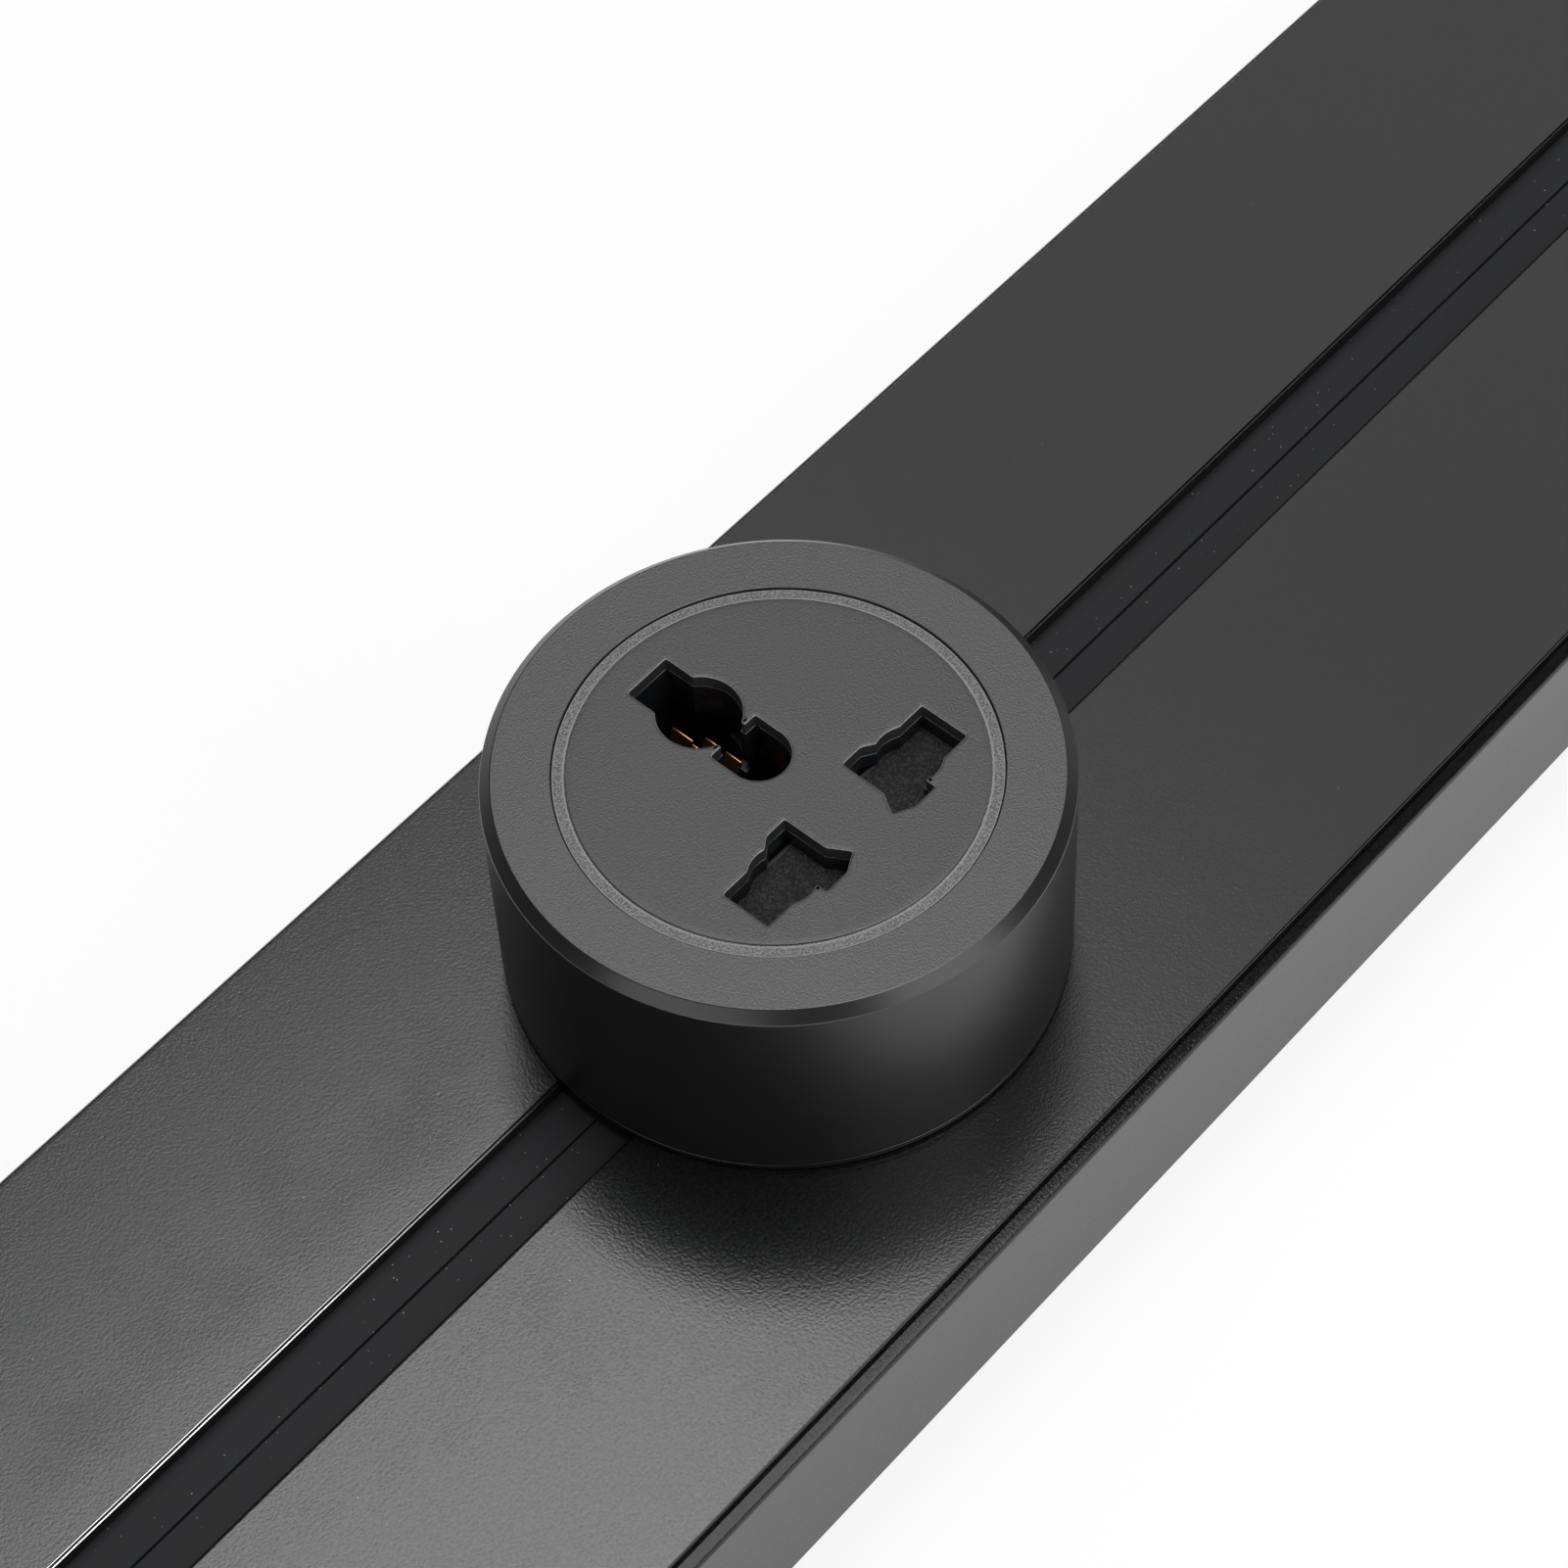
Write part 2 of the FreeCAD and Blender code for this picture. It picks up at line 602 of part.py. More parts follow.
def track_body():
    """The extruded channel with its webs, ledges, earth rail, screw ports and fixing holes."""
    ledge_edge = WALL_INNER - LEDGE_WIDTH
    section = symmetric([
        (HALF_WIDTH, ZERO),
        (HALF_WIDTH, WALL_TOP - CORNER_ROUNDING),
        (HALF_WIDTH - CORNER_ROUNDING, WALL_TOP, CORNER_ROUNDING),
        (WALL_INNER, WALL_TOP),
        (WALL_INNER, PLATE_UNDER),
        (ledge_edge, PLATE_UNDER),
        (ledge_edge, PLATE_UNDER - LEDGE_DEPTH),
        (WALL_INNER, PLATE_UNDER - LEDGE_DEPTH - LEDGE_WIDTH),
        (WALL_INNER, FLOOR_WALL),
        (WEB_OUTER, FLOOR_WALL),
        (WEB_OUTER, PLATE_UNDER),
        (WEB_PLACE, PLATE_UNDER),
        (WEB_PLACE, FLOOR_WALL),
        (RAIL_WIDTH / 2, FLOOR_WALL),
        (RAIL_WIDTH / 2, RAIL_HEIGHT),
    ])
    body = along_track("track_body", section)
    ports = new_sketch(body, "YZ_Plane", RUN_START)
    bores = new_sketch(body, "YZ_Plane", RUN_START + RUN_LENGTH)
    for side in (1, -1):
        trace_circle(ports, PORT_PLACE * side, PORT_HEIGHT, PORT_RADIUS)
        trace_circle(bores, PORT_PLACE * side, PORT_HEIGHT, PORT_BORE)
    extend(body, "Pad", ports, RUN_LENGTH)
    extend(body, "Pocket", bores, RUN_LENGTH)
    places = []
    for end in (1, -1):
        for side in (1, -1):
            places.append((FIXING_SPACING_X / 2 * end, FIXING_SPACING_Y / 2 * side))
    drill(body, places, FIXING_RADIUS, -FLOOR_WALL, FLOOR_WALL)
    return body


def top_plate(label, side):
    """A cover plate with a rounded slot edge and two barbed legs that snap into the track."""
    edge = WALL_INNER - PLATE_GAP
    inner_leg = WEB_OUTER + LEG_PLAY
    outer_leg = WALL_INNER - LEDGE_WIDTH - LEG_PLAY
    leg_end = PLATE_UNDER - LEG_DEPTH
    section = [
        (SLOT_HALF, PLATE_UNDER),
        (inner_leg, PLATE_UNDER),
        (inner_leg, leg_end),
        (inner_leg + LEG_THICKNESS, leg_end),
        (inner_leg + LEG_THICKNESS, PLATE_UNDER),
        (outer_leg - LEG_THICKNESS, PLATE_UNDER),
        (outer_leg - LEG_THICKNESS, leg_end),
        (outer_leg + BARB, leg_end + BARB),
        (outer_leg, leg_end + BARB * 2),
        (outer_leg, PLATE_UNDER),
        (edge, PLATE_UNDER),
        (edge, TRACK_HEIGHT - CORNER_ROUNDING),
        (edge - CORNER_ROUNDING, TRACK_HEIGHT, CORNER_ROUNDING),
        (SLOT_HALF + SLOT_ROUNDING, TRACK_HEIGHT),
        (SLOT_HALF, TRACK_HEIGHT - SLOT_ROUNDING, SLOT_ROUNDING),
    ]
    return along_track(label, mirrored(section, side))


def boat(half_length, half_width):
    """The pointed plan of the tongue: two arcs that meet on the track's middle line."""
    radius = (half_length * half_length + half_width * half_width) / (2 * half_width)
    return [
        (-half_length, ZERO, radius),
        (half_length, ZERO, radius),
    ]


def seal_lip(label, side):
    """A soft lip that closes half of the slot, with the opening that the tongue spreads in it."""
    under = PLATE_UNDER - LIP_ROOT
    section = [
        (LIP_GAP / 2, PLATE_UNDER),
        (LIP_GAP / 2, PLATE_UNDER - LIP_TIP),
        (LINER_EDGE, under),
        (LIP_REACH - BEAD_WIDTH, under),
        (LIP_REACH - BEAD_WIDTH, under - BEAD_DEPTH),
        (LIP_REACH, under - BEAD_DEPTH),
        (LIP_REACH, PLATE_UNDER),
    ]
    body = along_track(label, mirrored(section, side))
    opening = boat(TONGUE_LENGTH / 2 + LIP_CLEARANCE * 4, TONGUE_HALF + LIP_CLEARANCE)
    sink(body, opening, PLATE_UNDER - LIP_ROOT * 2, TRACK_HEIGHT)
    return body


def bus_liner(label, side):
    """The insulating C section that holds a lip's bead above and a bar at its side."""
    under = PLATE_UNDER - LIP_ROOT
    inner = WEB_PLACE - LINER_WALL
    bar_low = BAR_MIDDLE - BAR_HEIGHT / 2
    section = [
        (LINER_FOOT, LINER_BOTTOM),
        (WEB_PLACE, LINER_BOTTOM),
        (WEB_PLACE, PLATE_UNDER),
        (LIP_REACH, PLATE_UNDER),
        (LIP_REACH, under - BEAD_DEPTH),
        (LIP_REACH - BEAD_WIDTH, under - BEAD_DEPTH),
        (LIP_REACH - BEAD_WIDTH, under),
        (LINER_EDGE, under),
        (LINER_EDGE, LINER_UNDER),
        (inner - BAR_THICKNESS, LINER_UNDER),
        (inner - BAR_THICKNESS, bar_low + BAR_HEIGHT),
        (inner, bar_low + BAR_HEIGHT),
        (inner, bar_low),
        (inner - RIB_REACH, bar_low),
        (inner - RIB_REACH, bar_low - LINER_RIB),
        (inner, bar_low - LINER_RIB),
        (inner, LINER_BOTTOM + LINER_FLOOR),
        (LINER_FOOT, LINER_BOTTOM + LINER_FLOOR),
    ]
    return along_track(label, mirrored(section, side))


def busbar(label, side):
    """A flat copper bar seated in the side of a liner."""
    low = BAR_MIDDLE - BAR_HEIGHT / 2
    section = rectangle(BAR_FACE, BAR_FACE + BAR_THICKNESS, low, low + BAR_HEIGHT)
    return along_track(label, mirrored(section, side))


def earth_strip():
    """The copper strip on top of the earth rail."""
    half = RAIL_WIDTH / 2 - STRIP_MARGIN
    return along_track("earth_strip", rectangle(-half, half, RAIL_HEIGHT, STRIP_TOP))


def end_cap(label, end):
    """A moulded cap with plugs that enter the side chambers, and seats for its two screws."""
    outer = TRACK_LENGTH / 2 * end
    inner = outer - CAP_THICKNESS * end
    low, high = (inner, outer) if end > 0 else (outer, inner)
    plate = block(label + "_plate", (low, high), (-HALF_WIDTH, HALF_WIDTH), (ZERO, TRACK_HEIGHT))
    solids = [plate]
    for side in (1, -1):
        near = WEB_OUTER + CAP_PLUG_PLAY
        far = PORT_PLACE - PORT_RADIUS - CAP_PLUG_PLAY
        across = (near, far) if side > 0 else (-far, -near)
        tip = inner - CAP_PLUG_DEPTH * end
        reach = (tip, inner) if end > 0 else (inner, tip)
        floor = FLOOR_WALL + CAP_PLUG_PLAY
        solids.append(block(label + "_plug", reach, across, (floor, floor + CAP_PLUG_HEIGHT)))
    body = join(label + "_blank", *solids)
    along = Rotation(Vector(0, 1, 0), 90)
    holes = []
    for side in (1, -1):
        across = PORT_PLACE * side
        bore = peg(label + "_bore", low, across, PORT_HEIGHT, PORT_BORE + SCREW_PLAY, CAP_THICKNESS, along)
        recess_start = high - CAP_HEAD_DEPTH if end > 0 else low
        radius = CAP_SCREW_HEAD + SCREW_PLAY
        holes.append(bore)
        holes.append(peg(label + "_seat", recess_start, across, PORT_HEIGHT, radius, CAP_HEAD_DEPTH, along))
    if end > 0:
        holes.append(rod("inlet", low, ZERO, INLET_HEIGHT, INLET_RADIUS, CAP_THICKNESS, along))
        rim_start = high - GROMMET_LIP
        radius = INLET_RADIUS + GROMMET_RIM
        holes.append(rod("inlet_rim", rim_start, ZERO, INLET_HEIGHT, radius, GROMMET_LIP, along))
    return subtract(label, body, join(label + "_holes", *holes))


def end_cap_screws():
    """Four screws from the caps into the ports of the track body."""
    along = Rotation(Vector(0, 1, 0), 90)
    screws = []
    for end in (1, -1):
        outer = TRACK_LENGTH / 2 * end
        for side in (1, -1):
            across = PORT_PLACE * side
            head_start = outer - CAP_HEAD_DEPTH if end > 0 else outer
            shank_start = outer - CAP_SCREW_LENGTH if end > 0 else outer + CAP_HEAD_DEPTH
            shank_length = CAP_SCREW_LENGTH - CAP_HEAD_DEPTH
            head = peg("cap_head", head_start, across, PORT_HEIGHT, CAP_SCREW_HEAD, CAP_HEAD_DEPTH, along)
            radius = PORT_BORE - SCREW_PLAY
            shank = peg("cap_shank", shank_start, across, PORT_HEIGHT, radius, shank_length, along)
            screws.append(join("cap_screw", head, shank))
    return group("end_cap_screws", screws)


def cable_grommet():
    """The rubber grommet of the cable inlet, flush with the cap outside."""
    along = Rotation(Vector(0, 1, 0), 90)
    outer = TRACK_LENGTH / 2
    inner = outer - CAP_THICKNESS
    rim_radius = INLET_RADIUS + GROMMET_RIM
    rim = rod("grommet_rim", outer - GROMMET_LIP, ZERO, INLET_HEIGHT, rim_radius, GROMMET_LIP, along)
    sleeve = rod("grommet_sleeve", inner, ZERO, INLET_HEIGHT, INLET_RADIUS, CAP_THICKNESS, along)
    bore = rod("grommet_bore", inner, ZERO, INLET_HEIGHT, GROMMET_BORE, CAP_THICKNESS, along)
    return subtract("cable_grommet", join("grommet_blank", rim, sleeve), bore)


def terminal_places():
    """The three terminals' places across the track."""
    return [TERMINAL_PITCH * step for step in (-1, 0, 1)]


def terminal_block():
    """The feed terminals at the inlet end, with wire holes that face the inlet."""
    end = TRACK_LENGTH / 2 - BLOCK_SETBACK
    start = end - BLOCK_LENGTH
    body = block("terminal_blank", (start, end), (-BLOCK_HALF, BLOCK_HALF), (BLOCK_FLOOR, BLOCK_TOP))
    holes = []
    for across in terminal_places():
        wire_y = (across - WIRE_HALF, across + WIRE_HALF)
        wire_z = (WIRE_HEIGHT - WIRE_HALF, WIRE_HEIGHT + WIRE_HALF)
        holes.append(block("wire_hole", (end - WIRE_DEPTH, end), wire_y, wire_z))
        radius = TERMINAL_HEAD + SCREW_PLAY
        depth = BLOCK_TOP - WIRE_HEIGHT
        holes.append(peg("screw_hole", end - TERMINAL_SETBACK, across, WIRE_HEIGHT, radius, depth))
    return subtract("terminal_block", body, join("terminal_holes", *holes))


def terminal_screws():
    """Three slotted clamp screws in the terminal block."""
    end = TRACK_LENGTH / 2 - BLOCK_SETBACK
    top = BLOCK_TOP - TERMINAL_DROP
    screws = []
    for across in terminal_places():
        place = end - TERMINAL_SETBACK
        shank = peg("terminal_shank", place, across, WIRE_HEIGHT, TERMINAL_HEAD, top - WIRE_HEIGHT)
        slot_x = (place - TERMINAL_SLOT / 2, place + TERMINAL_SLOT / 2)
        slot_y = (across - TERMINAL_HEAD, across + TERMINAL_HEAD)
        slot = block("terminal_slot", slot_x, slot_y, (top - TERMINAL_DROP, top))
        screws.append(subtract("terminal_screw", shank, slot))
    return group("terminal_screws", screws)


def foot_plate():
    """The disc under the socket, with its tongue through the lips and the stop of the quarter turn."""
    bore = NECK_RADIUS + NECK_PLAY
    step = SOCKET_RADIUS - FOOT_RIM_WIDTH
    body = revolved("foot_plate", [
        (bore, FOOT_GLIDE),
        (step, FOOT_GLIDE),
        (step + FOOT_RIM_LIFT, FOOT_RIM_LIFT),
        (SOCKET_RADIUS, FOOT_RIM_LIFT),
        (SOCKET_RADIUS, FOOT_TOP),
        (bore, FOOT_TOP),
    ])
    tongue = boat(TONGUE_LENGTH / 2, TONGUE_HALF)
    slab(body, tongue, -TONGUE_DEPTH, FOOT_TOP)
    drill(body, [(ZERO, ZERO)], bore, -TONGUE_DEPTH - CUT_SPARE, FOOT_TOP + CUT_SPARE)
    post(body, [(STOP_DIAGONAL, STOP_DIAGONAL)], STOP_WIDTH / 2, FOOT_TOP, FOOT_TOP + STOP_HEIGHT)
    return on_track_top(body)


def twelve_sided(x, y, radius):
    """A twelve sided plan, used for plain round shapes that are hidden."""
    corners = []
    for degrees in range(0, 360, 30):
        angle = math.radians(degrees)
        corners.append((x + radius * math.cos(angle), y + radius * math.sin(angle)))
    return corners


def screw_places():
    """The places of the three assembly screws, evenly round the socket's axis."""
    places = []
    for degrees in (90, 210, 330):
        angle = math.radians(degrees)
        places.append((BOSS_PLACE * math.cos(angle), BOSS_PLACE * math.sin(angle)))
    return places


def housing():
    """The round shell, its chamfered rim on the face's flange, and three screw bosses."""
    body = revolved("housing", [
        (HOUSING_INNER, COVER_UNDER),
        (SOCKET_RADIUS, COVER_UNDER),
        (SOCKET_RADIUS, SOCKET_HEIGHT - CHAMFER_DROP),
        (SOCKET_RADIUS - CHAMFER_RUN, SOCKET_HEIGHT),
        (GROOVE_OUTER, SOCKET_HEIGHT),
        (GROOVE_OUTER, FLANGE_TOP),
        (HOUSING_INNER, FLANGE_TOP),
    ])
    boss_top = FLANGE_UNDER - SEAT_PLAY
    pilot_top = COVER_TOP + SCREW_LENGTH + PILOT_SPARE
    for x, y in screw_places():
        slab(body, twelve_sided(x, y, BOSS_RADIUS), COVER_TOP, boss_top)
        sink(body, twelve_sided(x, y, PILOT_RADIUS), COVER_TOP, pilot_top)
    return on_track_top(body)


def earth_outline(step=ZERO):
    """The earth aperture: a slot over a round lobe, a short neck and a D-shaped lobe."""
    slot_half = EARTH_SLOT_HALF + step
    lobe = LOBE_RADIUS + step
    neck = NECK_HALF + step
    dee = DEE_HALF + step
    lobe_top = LOBE_PLACE + root(lobe * lobe - slot_half * slot_half)
    lobe_foot = LOBE_PLACE - root(lobe * lobe - neck * neck)
    dee_top = DEE_TOP + step
    return [
        (ZERO, DEE_PLACE - dee, dee),
        (dee, DEE_PLACE, dee),
        (dee, dee_top),
        (neck, dee_top),
        (neck, lobe_foot),
        (lobe, LOBE_PLACE, lobe),
        (slot_half, lobe_top, lobe),
        (slot_half, EARTH_SLOT_TOP + step),
        (-slot_half, EARTH_SLOT_TOP + step),
        (-slot_half, lobe_top),
        (-lobe, LOBE_PLACE, lobe),
        (-neck, lobe_foot, lobe),
        (-neck, dee_top),
        (-dee, dee_top),
        (-dee, DEE_PLACE),
    ]


def pin_outline(step=ZERO):
    """A line or neutral aperture: a slot, a round bulge, and upright and slanted blade cuts."""
    radius = ROUND_RADIUS + step
    outer = PIN_SLOT_OUTER + step
    high = step + PIN_SLOT_HALF - PIN_LINE
    low = -step - PIN_SLOT_HALF - PIN_LINE
    slot_run = root(radius * radius - (PIN_SLOT_HALF + step) * (PIN_SLOT_HALF + step))
    blade_outer = BLADE_OUTER + step
    blade_run = ROUND_PLACE - blade_outer
    bulge_low = -PIN_LINE - root(radius * radius - blade_run * blade_run)
    bulge_run = ROUND_PLACE - BULGE_START
    bulge_high = -PIN_LINE + root(radius * radius - bulge_run * bulge_run)
    return [
        (outer, high),
        (ROUND_PLACE + slot_run, high),
        (ROUND_PLACE, radius - PIN_LINE, radius),
        (BULGE_START, bulge_high, radius),
        (BLADE_OUTER_TOP + step, step - BLADE_TOP),
        (BLADE_INNER - step, step - BLADE_TOP),
        (BLADE_INNER - step, -SLANT_START),
        (SLANT_TIP_X - step, -SLANT_TIP_Y),
        (SLANT_FOOT - step, -BLADE_BOTTOM - step),
        (blade_outer, -BLADE_BOTTOM - step),
        (blade_outer, bulge_low),
        (ROUND_PLACE, -radius - PIN_LINE, radius),
        (ROUND_PLACE + slot_run, low, radius),
        (outer, low),
    ]


def cut_apertures(body, bottom, top, step=ZERO):
    """Cut the three apertures out of a piece."""
    sink(body, earth_outline(step), bottom, top)
    for side in (1, -1):
        sink(body, mirrored(pin_outline(step), side), bottom, top)


def socket_face():
    """The face disc with the apertures, the floor of the ring groove, and the flange under the rim."""
    body = revolved("socket_face", [
        (ZERO, FACE_UNDER),
        (FLANGE_INNER, FACE_UNDER),
        (FLANGE_INNER, FLANGE_UNDER),
        (FLANGE_RADIUS, FLANGE_UNDER),
        (FLANGE_RADIUS, FLANGE_TOP),
        (GROOVE_OUTER - SEAT_PLAY, FLANGE_TOP),
        (GROOVE_OUTER - SEAT_PLAY, GROOVE_FLOOR),
        (GROOVE_INNER, GROOVE_FLOOR),
        (GROOVE_INNER, SOCKET_HEIGHT),
        (ZERO, SOCKET_HEIGHT),
    ])
    cut_apertures(body, FACE_UNDER - CUT_SPARE, SOCKET_HEIGHT)
    return on_track_top(body)


def shutter_cavity(name):
    """The space in the guide that the shutter slides in."""
    near = SHUTTER_NEAR - SHUTTER_PLAY * 3
    top = SHUTTER_TOP + SHUTTER_PLAY
    return block(name, (-CAVITY_HALF, CAVITY_HALF), (-CAVITY_FAR, -near), (CARRIER_TOP - CUT_SPARE, top))


def shutter_guide():
    """The moulding under the face, cut for the apertures and for the shutter's slide."""
    body = new_body("guide_blank")
    slab(body, twelve_sided(ZERO, ZERO, FLANGE_INNER - SEAT_PLAY), CARRIER_TOP, FACE_UNDER)
    cut_apertures(body, CARRIER_TOP, FACE_UNDER, -APERTURE_STEP)
    half = CAVITY_HALF + GUIDE_SIDE
    far = CAVITY_FAR + GUIDE_BACK
    top = FLANGE_UNDER - SEAT_PLAY
    wings = block("guide_wings", (-half, half), (-far, -GUIDE_START), (CARRIER_TOP, top))
    reach = rod("guide_reach", ZERO, ZERO, CARRIER_TOP, HOUSING_INNER - GUIDE_GAP, top - CARRIER_TOP)
    whole = join("guide_whole", body, overlap("guide_extension", wings, reach))
    guide = subtract("shutter_guide", whole, shutter_cavity("guide_cavity"))
    return on_track_top(guide)


def shutter():
    """The sliding plate with its bevelled edge and the notch that holds its spring."""
    body = new_body("shutter")
    sketch = new_sketch(body, "YZ_Plane", -SHUTTER_HALF)
    trace(sketch, [
        (-SHUTTER_FAR, SHUTTER_UNDER),
        (-SHUTTER_NEAR, SHUTTER_UNDER),
        (-SHUTTER_NEAR, SHUTTER_TOP - SHUTTER_BEVEL),
        (-SHUTTER_NEAR - SHUTTER_BEVEL, SHUTTER_TOP),
        (-SHUTTER_FAR, SHUTTER_TOP),
    ])
    extend(body, "Pad", sketch, SHUTTER_HALF * 2)
    notch_half = NOTCH_WIDTH / 2
    notch = rectangle(-notch_half, notch_half, -SHUTTER_FAR - CUT_SPARE, -SHUTTER_FAR + NOTCH_DEPTH)
    sink(body, notch, SHUTTER_UNDER - CUT_SPARE, SHUTTER_TOP + CUT_SPARE)
    return on_track_top(body)


def wire_corners(radius, wire, angle, climb):
    """The four corners of a square wire where it crosses an upright plane at an angle."""
    corners = []
    for outward, upward in ((-1, -1), (1, -1), (1, 1), (-1, 1)):
        reach = radius + outward * wire
        corners.append(Vector(reach * math.cos(angle), reach * math.sin(angle), climb + upward * wire))
    return corners


def coil(label, radius, wire, height, turns):
    """A compression spring of square wire, wound in short flats round the vertical axis."""
    flats = 6
    count = int(round(turns.number * flats))
    climb = (height.number - wire.number * 2) / count
    rings = []
    for index in range(count + 1):
        angle = 2 * math.pi * index / flats
        rings.append(wire_corners(radius.number, wire.number, angle, climb * index))
    faces = []
    for ring in (rings[0], rings[-1]):
        faces.append(Part.Face(Part.makePolygon(ring + ring[:1])))
    for low, high in zip(rings, rings[1:]):
        for side in range(4):
            other = (side + 1) % 4
            faces.append(Part.Face(Part.makePolygon([low[side], low[other], high[other], low[side]])))
            faces.append(Part.Face(Part.makePolygon([low[side], high[other], high[side], low[side]])))
    spring = doc.addObject("Part::Feature", label)
    spring.Shape = Part.Solid(Part.Shell(faces))
    return spring


def shutter_spring():
    """The spring between the shutter's notch and the back of the guide."""
    start = SHUTTER_FAR - NOTCH_DEPTH
    wire = SPRING_WIRE
    radius = NOTCH_WIDTH / 2 - wire - SPRING_PLAY
    spring = coil("shutter_spring", radius, wire, CAVITY_FAR - start, SHUTTER_TURNS)
    middle = TRACK_HEIGHT + SHUTTER_TOP - SHUTTER_THICKNESS / 2
    return put(spring, ZERO, -start - wire, middle, Rotation(Vector(1, 0, 0), 90))


def well_wall():
    """The curved rib between the round lobe's well and the D-shaped one."""
    start = WELL_SLOT_HALF
    inner_low = LOBE_PLACE - root(WELL_RADIUS * WELL_RADIUS - start * start)
    outer = WELL_RADIUS + WELL_WALL
    outer_start = start + WELL_WALL
    outer_low = LOBE_PLACE - root(outer * outer - outer_start * outer_start)
    return [
        (start, inner_low - WELL_LEG),
        (outer_start, inner_low - WELL_LEG),
        (outer_start, outer_low),
        (outer, LOBE_PLACE, outer),
        (WELL_RADIUS, LOBE_PLACE),
        (start, inner_low, -WELL_RADIUS),
    ]


def contact_carrier():
    """The insulating block with a chamber for each contact and a cavity for the tails."""
    body = new_body("contact_carrier")
    post(body, [(ZERO, ZERO)], CARRIER_RADIUS, COVER_TOP, CARRIER_TOP)
    sink(body, twelve_sided(ZERO, ZERO, CARRIER_CAVITY), COVER_TOP - CUT_SPARE, TAIL_CEILING)
    half_length = CHAMBER_LENGTH / 2
    half_width = CLIP_HALF + CHAMBER_PLAY
    for side in (1, -1):
        near = PIN_PLACE - half_length
        far = PIN_PLACE + half_length
        plan = rectangle(near, far, -PIN_LINE - half_width, half_width - PIN_LINE)
        sink(body, mirrored(plan, side), TAIL_UNDER, CARRIER_TOP)
    half = EARTH_HALF + EARTH_ROOM
    near = DEE_PLACE - DEE_HALF - WELL_PLAY
    far = EARTH_SLOT_TOP + WELL_PLAY
    sink(body, rectangle(-half, half, near, far), TAIL_UNDER, CARRIER_TOP)
    slab(body, well_wall(), TAIL_CEILING, SOCKET_HEIGHT - WELL_DEPTH)
    return on_track_top(body)


def tail(body, points, width):
    """A flat strip under the carrier's ceiling, through a few points of its middle line."""
    for start, end in zip(points, points[1:]):
        length = root((end[0] - start[0]) * (end[0] - start[0]) + (end[1] - start[1]) * (end[1] - start[1]))
        across_x = (start[1] - end[1]) * width / 2 / length
        across_y = (end[0] - start[0]) * width / 2 / length
        along_x = (end[0] - start[0]) * width / 2 / length
        along_y = (end[1] - start[1]) * width / 2 / length
        corners = [
            (start[0] - along_x - across_x, start[1] - along_y - across_y),
            (end[0] + along_x - across_x, end[1] + along_y - across_y),
            (end[0] + along_x + across_x, end[1] + along_y + across_y),
            (start[0] - along_x + across_x, start[1] - along_y + across_y),
        ]
        slab(body, corners, TAIL_UNDER, TAIL_CEILING)


def pin_contact(label, side):
    """A copper clip that grips a pin from both sides, with the tail that leads to its wing."""
    body = new_body(label)
    inner_half = CLIP_HALF - LEAF_THICKNESS
    inner_pinch = CLIP_PINCH - LEAF_THICKNESS
    waist_low = (CLIP_WAIST + TAIL_CEILING) / 2
    section = [
        (-CLIP_HALF - PIN_LINE, TAIL_UNDER),
        (CLIP_HALF - PIN_LINE, TAIL_UNDER),
        (CLIP_HALF - PIN_LINE, waist_low),
        (CLIP_PINCH - PIN_LINE, CLIP_WAIST),
        (CLIP_HALF - PIN_LINE, CLIP_TOP),
        (inner_half - PIN_LINE, CLIP_TOP),
        (inner_pinch - PIN_LINE, CLIP_WAIST),
        (inner_half - PIN_LINE, waist_low),
        (inner_half - PIN_LINE, TAIL_CEILING),
        (-inner_half - PIN_LINE, TAIL_CEILING),
        (-inner_half - PIN_LINE, waist_low),
        (-inner_pinch - PIN_LINE, CLIP_WAIST),
        (-inner_half - PIN_LINE, CLIP_TOP),
        (-CLIP_HALF - PIN_LINE, CLIP_TOP),
        (-CLIP_PINCH - PIN_LINE, CLIP_WAIST),
        (-CLIP_HALF - PIN_LINE, waist_low),
    ]
    near = PIN_PLACE - CLIP_LENGTH / 2
    start = near if side > 0 else -near - CLIP_LENGTH
    extend(body, "Pad", trace(new_sketch(body, "YZ_Plane", start), section), CLIP_LENGTH)
    wing_middle = WING_PLACE + WING_THICKNESS / 2
    clip = (PIN_PLACE * side, -PIN_LINE)
    if side > 0:
        points = [clip, (WING_PLACE * 2, -wing_middle), (ZERO, -wing_middle)]
    else:
        points = [clip, (-WING_PLACE * 2, wing_middle), (ZERO, wing_middle)]
    tail(body, points, TAIL_WIDTH)
    return on_track_top(body)


def leaf(body, knee, waist, tip, near, far):
    """One upright leaf of the earth contact, leaning towards the pin above its knee."""
    sketch = new_sketch(body, "XZ_Plane", -far)
    thick = LEAF_THICKNESS if knee.number > 0 else -LEAF_THICKNESS
    trace(sketch, [
        (knee, TAIL_CEILING),
        (knee, waist),
        (tip[0], tip[1]),
        (tip[0] - thick, tip[1]),
        (knee - thick, waist),
        (knee - thick, TAIL_CEILING),
    ])
    return extend(body, "Pad", sketch, far - near)


